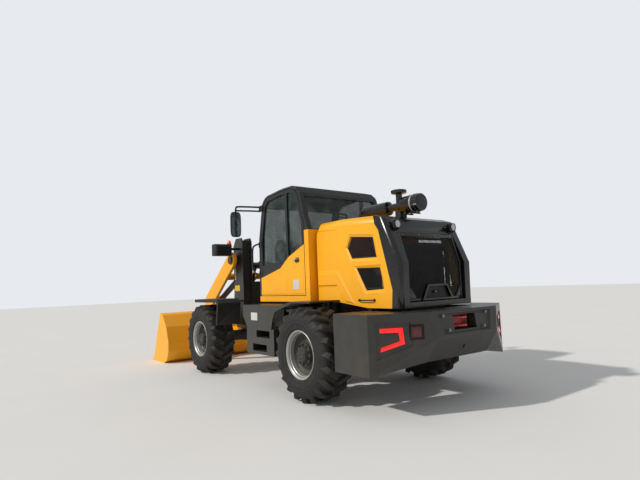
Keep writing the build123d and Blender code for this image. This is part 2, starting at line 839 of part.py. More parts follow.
def door_solid(shrink, y_high, y_low, mode=Mode.ADD):
    """Door outline moved inwards by shrink, between two Y planes."""
    with BuildSketch(side(y_high)) as profile:
        with BuildLine():
            Polyline(*cab_outline, close=True)
        make_face()
        offset(amount=-(roof_thick + 12 + shrink), kind=Kind.INTERSECTION, mode=Mode.REPLACE)
        with Locations((hinge_x - shrink, sill_top + door_gap + shrink)):
            Rectangle(hinge_x - cab_rear_x - post_depth - door_gap - 2 * shrink, tall,
                      align=(Align.MAX, Align.MIN), mode=Mode.INTERSECT)
    extrude(profile.sketch, amount=y_high - y_low, mode=mode)


rear_window_low = 1560
with BuildPart() as cab_body:
    cab_solid(0, cab_half)
    cab_solid(cab_wall, cab_half - cab_wall, mode=Mode.SUBTRACT)
    block(cab_rear_x - 10, cab_front_x + 10, -cab_half - 10, cab_half + 10, post_top, tall,
          mode=Mode.SUBTRACT)
    block(cab_rear_x + post_depth, cab_front_x + 10, -cab_half - 10, cab_half + 10, sill_top,
          tall, mode=Mode.SUBTRACT)
    block(cab_rear_x - 10, cab_rear_x + post_depth + 10, -520, 520, rear_window_low,
          tall, mode=Mode.SUBTRACT)
save(cab_body.part, "cab_body")

with BuildPart() as cab_frame:
    cab_solid(roof_thick, cab_half)
    with BuildSketch(side(cab_half)):
        with BuildLine():
            Polyline(*cab_outline, close=True)
        make_face()
    extrude(amount=2 * cab_half)
    cab_solid(cab_wall + roof_thick, cab_half - cab_wall, mode=Mode.SUBTRACT)
    block(cab_rear_x - 10, cab_front_x + 10, -cab_half + cab_wall, cab_half - cab_wall,
          cab_bottom, sill_top + 60, mode=Mode.SUBTRACT)
    block(cab_rear_x - 10, cab_front_x + 10, -cab_half - 10, cab_half + 10, cab_bottom - 10,
          sill_top, mode=Mode.SUBTRACT)
    block(cab_rear_x - 10, cab_rear_x + post_depth, -cab_half - 10, cab_half + 10,
          cab_bottom - 10, post_top, mode=Mode.SUBTRACT)
    door_solid(-door_gap, cab_half + 10, -cab_half - 10, mode=Mode.SUBTRACT)
    pane_half = cab_half - window_side
    block(-800, cab_front_x + 10, -pane_half, pane_half, 1620, 2470, mode=Mode.SUBTRACT)
    block(-800, cab_front_x + 10, -pane_half, pane_half, sill_top + 60, 1560,
          mode=Mode.SUBTRACT)
    block(cab_rear_x - 10, -900, -pane_half, pane_half, post_top + 10, 2500,
          mode=Mode.SUBTRACT)
    with BuildSketch(side(cab_half + 10)):
        with BuildLine():
            Polyline(*cab_outline, close=True)
        make_face()
        offset(amount=-roof_thick, kind=Kind.INTERSECTION, mode=Mode.SUBTRACT)
        with Locations((-850, roof_split - tall / 2)):
            Rectangle(tall, tall, mode=Mode.SUBTRACT)
    extrude(amount=2 * cab_half + 20, mode=Mode.SUBTRACT)
save(cab_frame.part, "cab_frame")

with BuildPart() as cab_roof:
    with BuildSketch(side(cab_half)):
        with BuildLine():
            Polyline(*cab_outline, close=True)
        make_face()
        offset(amount=-roof_thick, kind=Kind.INTERSECTION, mode=Mode.SUBTRACT)
        with Locations((-850, roof_split - tall / 2)):
            Rectangle(tall, tall, mode=Mode.SUBTRACT)
    extrude(amount=2 * cab_half)
    for hand in (1, -1):
        with BuildSketch(Plane.YZ.offset(cab_rear_x)):
            with BuildLine():
                Polyline(
                    (hand * (cab_half + 1), roof_split + 40),
                    (hand * (cab_half - roof_bevel), 2700),
                    (hand * (cab_half + 1), 2700),
                    close=True,
                )
            make_face()
        extrude(amount=cab_front_x - cab_rear_x, mode=Mode.SUBTRACT)
save(cab_roof.part, "cab_roof")

# Doors: a frame, a painted skin over its lower part, and its glass
belt_line = [
    # x, z of the painted skin's upper edge, from the hinges back
    (hinge_x - 4, 1440),
    (-790, 1566),
    (-1000, 1706),
    (-1345, 1836),
    (cab_rear_x + post_depth + door_gap + 2, 1850),
]
skin_low = sill_top + door_gap + 2
glass_low = 1630
skin_fields = [
    # the skin's two raised fields: outlines of x and z, apart by the seam between them
    [(-262, 1206), (-262, 1262), (-700, 1306), (-975, 1440), (-975, 1206)],
    [(-1012, 1206), (-1012, 1460), (-1360, 1600), (-1360, 1206)],
]
field_rise = 5
skin_outline = belt_line + [(belt_line[-1][0], skin_low), (belt_line[0][0], skin_low)]
glass_mid = cab_half - door_thick / 2
for name, hand in (("left", 1), ("right", -1)):
    low, high = sorted((hand * (cab_half - door_thick), hand * cab_half))
    skin_span = sorted((hand * (cab_half - skin_thick), hand * cab_half), reverse=True)
    with BuildPart() as door:
        door_solid(0, high, low)
        door_solid(door_frame, high + 5, low - 5, mode=Mode.SUBTRACT)
        slab([(-276, 1230), (-276, glass_low), (-990, glass_low), (-1000, 1706), (-1345, 1836),
              (-1345, 1230)], high, low)
        slab([(b_pillar_x, 1600), (b_pillar_x, 2600), (b_pillar_x + b_pillar_width, 2600),
              (b_pillar_x + b_pillar_width, 1600)], high, low)
        slab(skin_outline, *skin_span, mode=Mode.SUBTRACT)
        for leaf_z in hinge_zs:
            block(hinge_axis_x - 60, hinge_axis_x, *sorted((hand * cab_half,
                  hand * (cab_half + 4))), leaf_z, leaf_z + 80)
            with BuildSketch(Plane.XY.offset(leaf_z)):
                with Locations((hinge_axis_x, hand * (cab_half + hinge_radius))):
                    disc(hinge_radius, 0 if leaf_z == hinge_zs[0] else bar_sides)
            extrude(amount=80)
    save(door.part, f"door_{name}")
    with BuildPart() as door_skin:
        slab(skin_outline, *skin_span)
        door_solid(0, high, low, mode=Mode.INTERSECT)
        for outline in skin_fields:
            field(outline, hand * cab_half, hand * (cab_half + field_rise), 2 * field_rise)
    save(door_skin.part, f"door_skin_{name}")
    low, high = sorted((hand * (glass_mid - glass_thick), hand * glass_mid))
    with BuildPart() as door_glass:
        door_solid(door_frame, high, low)
        slab([(-200, 1100), (-200, glass_low), (-990, glass_low), (-1000, 1706), (-1345, 1836),
              (-1345, 1100)], high + 5, low - 5, mode=Mode.SUBTRACT)
        block(b_pillar_x, b_pillar_x + b_pillar_width, low - 5, high + 5, 1500, 2700,
              mode=Mode.SUBTRACT)
    save(door_glass.part, f"door_glass_{name}")

# Fixed glass: a front pane above and below the belt, and a rear pane
window_zones = [
    # x low, x high, z low, z high
    (-480, 0, 1620, 2470),
    (-480, 0, sill_top + 60, 1560),
    (-1600, -1200, post_top + 10, 2500),
]
glass_depth = 18
with BuildPart() as cab_glass:
    cab_solid(glass_depth, pane_half)
    cab_solid(glass_depth + glass_thick, pane_half + 10, mode=Mode.SUBTRACT)
    with BuildSketch(side(cab_half)):
        for x_low, x_high, z_low, z_high in window_zones:
            with Locations(((x_low + x_high) / 2, (z_low + z_high) / 2)):
                Rectangle(x_high - x_low, z_high - z_low)
    extrude(amount=2 * cab_half, mode=Mode.INTERSECT)
save(cab_glass.part, "cab_glass")

# Seat and steering column inside the cab
seat_x = -1050
with BuildPart() as seat:
    block(seat_x - 200, seat_x + 200, -180, 180, cab_bottom + cab_wall, 1420)
    block(seat_x - 240, seat_x + 260, -250, 250, 1420, 1540)
    slab([(seat_x - 240, 1540), (seat_x - 140, 1540), (seat_x - 210, 2060),
          (seat_x - 300, 2060)], 240, -240)
save(seat.part, "seat")

with BuildPart() as steering_column:
    rod_between((-315, 0, cab_bottom), (-520, 0, 1650), 45, sides=boss_sides)
    block(-600, -200, -100, 100, cab_bottom - 100, cab_bottom + cab_wall, mode=Mode.SUBTRACT)
    wheel_plane = Plane(origin=(-560, 0, 1720), z_dir=(-0.45, 0, 1))
    with BuildSketch(wheel_plane):
        RegularPolygon(195, 16)
        RegularPolygon(165, 16, mode=Mode.SUBTRACT)
        Rectangle(340, 40)
        RegularPolygon(45, boss_sides)
    extrude(amount=28)
    rod_between((-515, 0, 1630), (-562, 0, 1725), 22, sides=bar_sides)
save(steering_column.part, "steering_column")

# Hood: side outline with the raised lower flank, hollow, open below and behind
hood_back_line = [
    # x, z of the seam between the hood and its rear frame, from the top down
    (-2582, 2063),
    (-2598, 1960),
    (-2650, 1890),
    (-2822, 1234),
    (-2803, 1039),
]
hood_outline = [
    (hood_front_x, hood_bottom_z + 50),
    (hood_front_x, 2040),
    (hood_front_x - 45, hood_top_z),
    (-1975, hood_top_z),
    *hood_back_line,
    (-2430, 1039),
    (-1950, 1100),
]
hood_front_field = [(-1530, 1472), (-1530, 2000), (-1955, 1975), (-1937, 1472)]
hood_belt = [(-1532, 1460), (-1940, 1460), (-2225, 1080), (-2055, 1100), (-1901, 1293),
             (-1532, 1293)]
front_field_sink = 6
belt_rise = 14
bezel_sink = 12
bezel_margin = 34
vent_upper = [(-2121, 1729), (-2189, 1858), (-2549, 1820), (-2595, 1595), (-2189, 1603)]
vent_lower = [(-2269, 1481), (-2638, 1478), (-2675, 1245), (-2412, 1233)]
hood_kink_x = -1975


def hood_top(x):
    """Height of the hood's sloping top behind its kink."""
    back_x, back_z = hood_back_line[0]
    slope = (hood_top_z - back_z) / (hood_kink_x - back_x)
    return hood_top_z + (x - hood_kink_x) * slope


with BuildPart() as hood:
    slab(hood_outline, hood_half, -hood_half)
    top_edges = hood.edges().filter_by(GeomType.LINE).filter_by(
        lambda edge: edge.center().Z > 2030 and abs(abs(edge.center().Y) - hood_half) < 1)
    fillet(top_edges, hood_edge_radius)
    slab([(hood_front_x - hood_wall, 900), (hood_front_x - hood_wall, 2020),
          (hood_front_x - hood_wall - 40, hood_top_z - hood_wall),
          (-1975, hood_top_z - hood_wall), (-2900, 2020), (-3000, 900)],
         hood_half - hood_wall, -hood_half + hood_wall, mode=Mode.SUBTRACT)
    for hand in (1, -1):
        face = hand * hood_half
        field(hood_front_field, face, face - hand * front_field_sink, 2 * front_field_sink,
              Mode.SUBTRACT)
        field(hood_belt, face, face + hand * belt_rise, belt_rise + 4)
        for vent in (vent_upper, vent_lower):
            with BuildSketch(side(face)) as rim_edge:
                with BuildLine():
                    Polyline(*vent, close=True)
                make_face()
                offset(amount=bezel_margin, kind=Kind.INTERSECTION, mode=Mode.REPLACE)
            with BuildSketch(side(face - hand * bezel_sink)) as vent_edge:
                with BuildLine():
                    Polyline(*vent, close=True)
                make_face()
                offset(amount=bezel_margin / 3, kind=Kind.INTERSECTION, mode=Mode.REPLACE)
            loft([rim_edge.sketch.face(), vent_edge.sketch.face()], ruled=True,
                 mode=Mode.SUBTRACT)
    for vent in (vent_upper, vent_lower):
        slab(vent, hood_half + 20, -hood_half - 20, mode=Mode.SUBTRACT)
save(hood.part, "hood")

with BuildPart() as hood_mesh:
    for hand in (1, -1):
        low, high = sorted((hand * (hood_half - hood_wall + 2), hand * (hood_half - bezel_sink
                                                                       - 3)))
        for vent in (vent_upper, vent_lower):
            slab(vent, high, low)
save(hood_mesh.part, "hood_mesh")

# Frame round the rear grille
frame_outline = [
    *hood_back_line,
    (-2940, 1039),
    (-2953, 1518),
    (-2740, 2010),
]
with BuildPart() as hood_rear_frame:
    slab(frame_outline, hood_half, -hood_half)
    corner_edges = hood_rear_frame.edges().filter_by(
        lambda edge: abs(abs(edge.center().Y) - hood_half) < 1 and edge.center().X < -2840
        and edge.center().Z > 1045)
    fillet(corner_edges, frame_corner_radius)
    slab([(-2500, 1900), (-2700, 1900), (-2850, 1518), (-2850, 1095), (-2500, 1095)],
         hood_half - hood_wall, -hood_half + hood_wall, mode=Mode.SUBTRACT)
    block(-3000, -2700, -grille_half, grille_half, grille_bottom, grille_top,
          mode=Mode.SUBTRACT)
    for hand in (1, -1):
        block(-2850, -2770, *sorted((hand * 415, hand * 530)), 1885, 1995, mode=Mode.SUBTRACT)
save(hood_rear_frame.part, "hood_rear_frame")

# Rear grille, hinged at its top edge
with BuildPart() as rear_grille:
    slab([(-2810, grille_top - side_gap), (-2915, 1518), (-2912, grille_bottom + side_gap),
          (-2872, grille_bottom + side_gap), (-2875, 1512), (-2768, grille_top - side_gap)],
         grille_half - side_gap, -grille_half + side_gap)
    for hand in (1, -1):
        block(-2810, -2785, *sorted((hand * 300, hand * 360)), grille_top - 30, grille_top)
        disc_y(grille_hinge_x, grille_hinge_z, grille_hinge_radius, hand * 330 + 32,
               hand * 330 - 32, sides=pin_sides[hand])
save(rear_grille.part, "rear_grille")

# Work lamps at the top of the rear frame
with BuildPart() as work_lamps:
    for hand in (1, -1):
        block(-2835, -2770, *sorted((hand * 420, hand * 525)), 1890, 1990)
save(work_lamps.part, "work_lamps")

# Engine, a plain mass on the rear rails
with BuildPart() as engine_block:
    slab([(-2780, rail_top), (-1650, rail_top), (-1650, 1650), (-2380, 1650), (-2380, 1750),
          (-2780, 1750)], 300, -300)
save(engine_block.part, "engine_block")

# Counterweight: a plan outline with slanting corners and two wings beside the hood
lamp_along = 490
lamp_z = 825
lamp_side = 130
lamp_pocket = 35
led_pocket = 12
led_panel = [
    # distance from the corner, height: the sunk panel round the light bar
    (80, 922),
    (430, 915),
    (450, 697),
    (80, 578),
]
led_bar = [
    (120, 872),
    (350, 872),
    (365, 716),
    (120, 650),
    (126, 690),
    (318, 745),
    (306, 830),
    (120, 830),
]


def corner_face(hand):
    """Plane of a slanting corner: X runs from the side toward the middle, Y up."""
    run = Vector(weight_back_x - weight_corner_x, hand * (weight_core_half - weight_half), 0)
    outward = run.cross(Vector(0, 0, 1)) * hand
    return Plane(origin=(weight_corner_x, hand * weight_half, 0), x_dir=run * hand,
                 z_dir=outward)


def keel_face(hand):
    """Plane that undercuts a slanting corner, from its foot to the back ridge and the keel."""
    foot = Vector(weight_corner_x, hand * weight_half, weight_bottom)
    ridge = Vector(weight_back_x, hand * weight_core_half, weight_ridge_z)
    keel = Vector(weight_keel_x, hand * weight_core_half, weight_keel_z)
    return Plane(origin=foot, z_dir=(ridge - foot).cross(keel - foot) * hand)


# The upper back face leans forward above the ridge
back_face = Plane(origin=(weight_back_x, 0, weight_ridge_z), x_dir=(0, -1, 0),
                  z_dir=(weight_ridge_z - weight_top, 0, weight_top_lean))
recess_outline = [(-450, 240), (450, 240), (385, 24), (-385, 24)]

with BuildPart() as counterweight:
    with BuildSketch(Plane.XY.offset(weight_bottom)) as plan:
        with BuildLine():
            Polyline(
                (weight_front_x, weight_half),
                (weight_corner_x, weight_half),
                (weight_back_x, weight_core_half),
                (weight_back_x, -weight_core_half),
                (weight_corner_x, -weight_half),
                (weight_front_x, -weight_half),
                (weight_front_x, -weight_wing_inner),
                (weight_block_front, -weight_wing_inner),
                (weight_block_front, weight_wing_inner),
                (weight_front_x, weight_wing_inner),
                close=True,
            )
        make_face()
    extrude(plan.sketch, amount=weight_top - weight_bottom)
    for hand in (1, -1):
        split(bisect_by=keel_face(hand), keep=Keep.TOP)
    behind_x = weight_back_x - 10
    slab([(weight_back_x, weight_ridge_z), (weight_back_x + weight_top_lean, weight_top),
          (behind_x, weight_top + 1)], weight_half, -weight_half, mode=Mode.SUBTRACT)
    slab([(weight_back_x, weight_ridge_z), (weight_keel_x, weight_keel_z),
          (weight_keel_x, weight_bottom - 1), (behind_x, weight_bottom - 1)],
         weight_half, -weight_half, mode=Mode.SUBTRACT)
    with BuildSketch(Plane.YZ.offset(behind_x)) as underside:
        with BuildLine():
            Polyline(
                (weight_half, weight_bottom),
                (weight_core_half, weight_keel_z),
                (-weight_core_half, weight_keel_z),
                (-weight_half, weight_bottom),
                (0, weight_bottom - 10),
                close=True,
            )
        make_face()
    extrude(underside.sketch, amount=weight_front_x - behind_x + 1, mode=Mode.SUBTRACT)
    with BuildSketch(back_face) as recess_edge:
        with BuildLine():
            Polyline(*recess_outline, close=True)
        make_face()
    with BuildSketch(back_face.offset(-recess_depth)) as recess_floor:
        with BuildLine():
            Polyline(*recess_outline, close=True)
        make_face()
        offset(amount=-recess_depth, kind=Kind.INTERSECTION, mode=Mode.REPLACE)
    loft([recess_edge.sketch.face(), recess_floor.sketch.face()], ruled=True,
         mode=Mode.SUBTRACT)
    block(behind_x, hitch_floor_x, -hitch_pocket_half, hitch_pocket_half,
          hitch_z - hitch_pocket_rise, hitch_z + hitch_pocket_rise, mode=Mode.SUBTRACT)
    with BuildSketch(Plane.XY.offset(weight_bottom)) as pin_hole:
        with Locations((hitch_pin_x, 0)):
            disc(pin_hole_radius, boss_sides, around=True)
    extrude(pin_hole.sketch, amount=weight_top, mode=Mode.SUBTRACT)
    for hand in (1, -1):
        with BuildSketch(corner_face(hand)) as pocket:
            with Locations((hand * lamp_along, lamp_z)):
                Rectangle(lamp_side + 2 * side_gap, lamp_side + 2 * side_gap)
        extrude(pocket.sketch, amount=-lamp_pocket, mode=Mode.SUBTRACT)
        with BuildSketch(corner_face(hand)) as panel:
            with BuildLine():
                Polyline(*[(hand * along_face, z) for along_face, z in led_panel], close=True)
            make_face()
        extrude(panel.sketch, amount=-led_pocket, mode=Mode.SUBTRACT)
save(counterweight.part, "counterweight")

with BuildPart() as tail_lamps:
    for hand in (1, -1):
        with BuildSketch(corner_face(hand).offset(-lamp_pocket)) as lamp:
            with Locations((hand * lamp_along, lamp_z)):
                Rectangle(lamp_side, lamp_side)
        extrude(lamp.sketch, amount=lamp_pocket + 6)
        with BuildSketch(corner_face(hand).offset(-led_pocket)) as bar:
            with BuildLine():
                Polyline(*[(hand * along_face, z) for along_face, z in led_bar], close=True)
            make_face()
        extrude(bar.sketch, amount=led_pocket - 2)
save(tail_lamps.part, "tail_lamps")

# Air cleaner on the hood: a canister, a rain cap and a ribbed pipe to the engine
cleaner_y = 80
cleaner_z = 2205
with BuildPart() as air_cleaner:
    rod_between((-2850, cleaner_y, cleaner_z), (-2560, cleaner_y, cleaner_z), 106,
                sides=arm_sides)
    slab([(-2570, hood_top(-2570)), (-2470, hood_top(-2470)), (-2470, cleaner_z - 65),
          (-2570, cleaner_z - 65)], cleaner_y + 60, cleaner_y - 60)
    rod_between((-2560, cleaner_y, cleaner_z), (-2330, cleaner_y, cleaner_z), 45,
                sides=boss_sides)
    rod_between((-2330, cleaner_y, cleaner_z), (-1900, cleaner_y, cleaner_z), 85,
                sides=boss_sides)
    rod_between((-2500, cleaner_y, cleaner_z), (-2500, cleaner_y, cleaner_z + 185), 40,
                sides=boss_sides)
    rod_between((-2500, cleaner_y, cleaner_z + 145), (-2500, cleaner_y, cleaner_z + 205), 95,
                sides=arm_sides)
    rod_between((-1850, cleaner_y, 2060), (-1900, cleaner_y, cleaner_z), 55, sides=boss_sides)
    block(-1975, -1700, cleaner_y - 100, cleaner_y + 100, 1900, hood_top_z, mode=Mode.SUBTRACT)
save(air_cleaner.part, "air_cleaner")

# Platform beside the cab, with the rear wheel arches and the step boxes
foot_holes = [
    # x low, x high, z low, z high of the two holes for a foot in each step box
    (-1040, -700, 660, 750),
    (-960, -600, 480, 570),
]
with BuildPart() as platform:
    for hand in (1, -1):
        low, high = sorted((hand * (hood_half + side_gap), hand * platform_half))
        slab([(platform_front, platform_top), (-1330, platform_top), (-1560, arch_top),
              (-1945, arch_top), (-1945, arch_top - platform_plate),
              (-1555, arch_top - platform_plate), (-1325, platform_top - platform_plate),
              (platform_front, platform_top - platform_plate)], high, low)
        low, high = sorted((0, hand * (cab_half + side_gap)))
        block(cab_rear_x - side_gap, 0, low, high, platform_top, tall, mode=Mode.SUBTRACT)
        low, high = sorted((hand * rear_rail_half, hand * platform_half))
        block(-1300, platform_front, low, high, platform_top - platform_plate, platform_top)
        low, high = sorted((hand * (platform_half - platform_plate), hand * platform_half))
        slab([(platform_front, platform_top), (-1330, platform_top), (-1560, arch_top),
              (-1560, arch_top - 25), (-1330, platform_top - 40), (-1187, 1000),
              (-1122, 900), (step_back + 60, step_top), (step_front - 15, step_top),
              (platform_front, 940)], high, low)
        low, high = sorted((hand * (platform_half - step_depth), hand * platform_half))
        block(step_back, step_front, low, high, step_bottom, step_top)
        low, high = sorted((hand * (platform_half - foot_hole_depth), hand * (platform_half + 1)))
        for x_low, x_high, z_low, z_high in foot_holes:
            block(x_low, x_high, low, high, z_low, z_high, mode=Mode.SUBTRACT)
        low, high = sorted((hand * rear_rail_half, hand * (platform_half - step_depth)))
        block(platform_beam_x, platform_beam_x + 200, low, high, rail_top - 60,
              platform_top - platform_plate)
save(platform.part, "platform")

# Tow hitch in the middle of the counterweight: a back plate, two jaws and a bore for a pin
with BuildPart() as tow_hitch:
    block(hitch_floor_x - 16, hitch_floor_x, -170, 170, hitch_z - 70, hitch_z + 70)
    for jaw_low in (hitch_z - hitch_mouth / 2 - hitch_jaw, hitch_z + hitch_mouth / 2):
        with BuildSketch(Plane.XY.offset(jaw_low)):
            with BuildLine():
                Polyline(
                    (hitch_floor_x - 10, -140),
                    (hitch_floor_x - 10, 140),
                    (hitch_pin_x - hitch_nose / 2, 70),
                    (hitch_pin_x - hitch_nose, 40),
                    (hitch_pin_x - hitch_nose, -40),
                    (hitch_pin_x - hitch_nose / 2, -70),
                    close=True,
                )
            make_face()
            with Locations((hitch_pin_x, 0)):
                Circle(hitch_bore / 2, mode=Mode.SUBTRACT)
        extrude(amount=hitch_jaw)
save(tow_hitch.part, "tow_hitch")

# Mirrors on tubular arms at the front pillars
mirror_base_x = -262
with BuildPart() as mirrors:
    for hand in (1, -1):
        low, high = sorted((hand * cab_half, hand * (cab_half + 12)))
        block(-368, mirror_base_x, low, high, 2425, 2515)
        for arm_z in (2440, 2500):
            rod_between((mirror_base_x - 12, hand * cab_half, arm_z), (-190, hand * 1050, arm_z),
                        10, sides=bar_sides)
        rod_between((-190, hand * 1050, 2500), (-185, hand * 1062, 2040), 10, sides=bar_sides)
        with BuildSketch(Plane.YZ.offset(-215)):
            with Locations((hand * 1062, 2235)):
                mirror_case = Rectangle(170, 370)
            chamfer(mirror_case.vertices(), 40)
        extrude(amount=30)
save(mirrors.part, "mirrors")
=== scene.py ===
"""Looks of the compact wheel loader: finishes, fine parts and the studio stage.

Metres, in the part's own frame: +X forward, +Y left, +Z up, origin on the ground.
"""

from math import cos, pi, radians, sin, tan

import bmesh
import bpy
from mathutils import Matrix, Vector


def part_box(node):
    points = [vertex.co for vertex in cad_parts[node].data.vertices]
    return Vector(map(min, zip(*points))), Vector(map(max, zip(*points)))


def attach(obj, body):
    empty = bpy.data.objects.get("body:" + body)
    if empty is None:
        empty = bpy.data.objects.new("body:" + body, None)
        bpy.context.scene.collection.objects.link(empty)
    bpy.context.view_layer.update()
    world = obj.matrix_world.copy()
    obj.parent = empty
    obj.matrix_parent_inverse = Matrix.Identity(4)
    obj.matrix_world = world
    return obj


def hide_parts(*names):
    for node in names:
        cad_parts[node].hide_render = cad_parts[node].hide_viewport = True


bl_info = {
    "name": "Wheel Loader Finish",
    "version": (1, 0, 0),
    "blender": (4, 5, 0),
    "location": "View3D > Sidebar > Loader",
    "description": "Adds the fine parts and finishes of a compact articulated wheel loader",
    "category": "Object",
}

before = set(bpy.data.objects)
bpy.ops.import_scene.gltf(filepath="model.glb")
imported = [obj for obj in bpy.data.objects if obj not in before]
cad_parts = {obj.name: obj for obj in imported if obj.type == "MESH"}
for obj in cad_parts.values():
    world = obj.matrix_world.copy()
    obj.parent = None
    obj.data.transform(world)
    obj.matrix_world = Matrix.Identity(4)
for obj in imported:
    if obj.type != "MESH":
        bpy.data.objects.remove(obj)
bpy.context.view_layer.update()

SIDES = {1: "left", -1: "right"}  # a hand, the sign of Y on its side, and the side's name
WHEELS = ("front_left", "front_right", "rear_left", "rear_right")
AXLE_X = {"front": 0.975, "rear": -1.845}
TRACK_HALF = 0.960
AXLE_Z = 0.5372
FORWARD, BACKWARD, LEFTWARD, UPWARD = (1, 0, 0), (-1, 0, 0), (0, 1, 0), (0, 0, 1)
CREASE_ANGLE = radians(32)
BOLT_CREASE_ANGLE = radians(40)
SOLID_EDGE = 0.004
DOUBLES = 1e-6
WELD_DISTANCE = 1e-5
# Shares of a bolt's width across its flats
HEAD_TALL, HEAD_CORNER, WASHER_THICK, WASHER_RADIUS = 0.42, 0.57, 0.12, 0.75


# Mesh helpers


def link_piece(name, mesh, body, kind):
    """Put a finished mesh in the scene as a piece that rides on a body."""
    piece = bpy.data.objects.new(name, mesh)
    bpy.context.scene.collection.objects.link(piece)
    mesh.materials.clear()
    mesh.materials.append(FINISH[kind])
    mesh.shade_smooth()
    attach(piece, body)
    return piece


def finish(bm, name, body, kind, bevel=0.0, crease=CREASE_ANGLE, replaces=()):
    """Turn an open bmesh into a piece that rides on a body."""
    bmesh.ops.remove_doubles(bm, verts=bm.verts[:], dist=DOUBLES)
    bmesh.ops.recalc_face_normals(bm, faces=bm.faces[:])
    mesh = bpy.data.meshes.new(name)
    bm.to_mesh(mesh)
    bm.free()
    piece = link_piece(name, mesh, body, kind)
    mesh.set_sharp_from_angle(angle=crease)
    if bevel:
        soften(piece, bevel)
    if replaces:
        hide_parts(*replaces)
    return piece


def soften(piece, width):
    """Round the sharp edges of a piece with a live bevel."""
    edge = piece.modifiers.new("Rounded edges", "BEVEL")
    edge.width = width
    edge.segments = 2
    edge.limit_method = "ANGLE"
    edge.angle_limit = radians(30)
    edge.harden_normals = True
    edge.use_clamp_overlap = True


def rounded(bm, width, segments=2, angle=28):
    """Bevel the sharp edges of everything in the open mesh."""
    edges = [edge for edge in bm.edges
             if edge.is_manifold and edge.calc_face_angle(0) > radians(angle)]
    bevel_edges(bm, edges, width, segments)


def bevel_edges(bm, edges, width, segments):
    """Bevel some edges of the open mesh."""
    bmesh.ops.bevel(bm, geom=edges, offset=width, segments=segments, profile=0.5,
                    affect="EDGES", material=-1, clamp_overlap=True)


def turn_to(direction):
    """Rotation that carries Z onto a direction."""
    return Vector(direction).to_track_quat("Z", "Y").to_matrix().to_4x4()


def beside(hand, near, far):
    """Lowest and highest Y of a span on one side, given its distances from the middle."""
    return sorted((hand * near, hand * far))


def square(centre, half):
    """Corners of a square about a point of a plane."""
    return [(centre[0] + across * half, centre[1] + up * half)
            for across, up in ((-1, -1), (1, -1), (1, 1), (-1, 1))]


def bar(bm, start, end, radius, sides=16):
    """Round bar between two points."""
    start, end = Vector(start), Vector(end)
    place = Matrix.Translation((start + end) / 2) @ turn_to(end - start)
    bmesh.ops.create_cone(bm, cap_ends=True, segments=sides, radius1=radius, radius2=radius,
                          depth=(end - start).length, matrix=place)


def brick(bm, low, high):
    """Straight block between two corners."""
    low, high = Vector(low), Vector(high)
    place = Matrix.Translation((low + high) / 2) @ Matrix.Diagonal((*(high - low), 1))
    bmesh.ops.create_cube(bm, size=1, matrix=place)


def prism(bm, outline, along, low, high):
    """Prism of an outline; along is the axis it runs on: 'x' takes (y, z) points, and so on."""
    order = {"x": (1, 2, 0), "y": (0, 2, 1), "z": (0, 1, 2)}[along]
    verts = []
    for first, second in outline:
        point = [0.0, 0.0, 0.0]
        point[order[0]], point[order[1]], point[order[2]] = first, second, low
        verts.append(bm.verts.new(point))
    face = bm.faces.new(verts)
    made = bmesh.ops.extrude_face_region(bm, geom=[face])
    shift = [0.0, 0.0, 0.0]
    shift[order[2]] = high - low
    top = [item for item in made["geom"] if isinstance(item, bmesh.types.BMVert)]
    bmesh.ops.translate(bm, vec=shift, verts=top)
    return verts + top


def frame_ring(bm, outline, inset, along, low, high):
    """Flat ring: an outline extruded, with its middle taken out."""
    verts = prism(bm, outline, along, low, high)
    faces = {face for vert in verts for face in vert.link_faces}
    axis = "xyz".index(along)
    caps = [face for face in faces if abs(face.normal[axis]) > 0.9 and len(face.verts) > 4
            or abs(face.normal[axis]) > 0.99]
    bmesh.ops.inset_region(bm, faces=caps, thickness=inset, use_even_offset=True)
    loops = [edge for cap in caps for edge in cap.edges]
    bmesh.ops.delete(bm, geom=caps, context="FACES_ONLY")
    bmesh.ops.bridge_loops(bm, edges=loops)


def lathe(bm, profile, centre, axis, steps=32):
    """Turn a profile of (distance along the axis, radius) points once round the axis."""
    place = Matrix.Translation(centre) @ turn_to(axis)
    verts = [bm.verts.new(place @ Vector((radius, 0, height))) for height, radius in profile]
    edges = [bm.edges.new(pair) for pair in zip(verts, verts[1:])]
    bmesh.ops.spin(bm, geom=verts + edges, cent=centre, axis=Vector(axis), dvec=(0, 0, 0),
                   angle=2 * pi, steps=steps, use_merge=True, use_duplicate=False)


def hoop(bm, centre, axis, radius, thick, steps, sides):
    """Ring of round section."""
    profile = [(thick * sin(2 * pi * k / sides), radius + thick * cos(2 * pi * k / sides))
               for k in range(sides + 1)]
    lathe(bm, profile, centre, axis, steps)


def hex_bolt(bm, centre, axis, across, height=None, washer=True):
    """Hexagon head on a washer, its underside at the centre point."""
    centre, axis = Vector(centre), Vector(axis).normalized()
    height = height or across * HEAD_TALL
    lift = across * WASHER_THICK if washer else 0.0
    if washer:
        bar(bm, centre, centre + axis * lift, across * WASHER_RADIUS)
    bar(bm, centre + axis * lift, centre + axis * (lift + height), across * HEAD_CORNER, 6)


def tube(name, points, radius, body, kind, sides=6, smooth=True):
    """Bent pipe or hose along a curve through the points, as a mesh."""
    curve = bpy.data.curves.new(name, "CURVE")
    curve.dimensions = "3D"
    curve.bevel_depth = radius
    curve.bevel_resolution = sides
    curve.resolution_u = 12
    spline = curve.splines.new("NURBS" if smooth else "POLY")
    spline.points.add(len(points) - 1)
    for knot, point in zip(spline.points, points):
        knot.co = (*point, 1)
    if smooth:
        spline.order_u = 3
        spline.use_endpoint_u = True
    curve.use_fill_caps = True
    holder = bpy.data.objects.new(name, curve)
    mesh = bpy.data.meshes.new_from_object(holder)
    bpy.data.objects.remove(holder)
    mesh.name = name
    link_piece(name, mesh, body, kind)


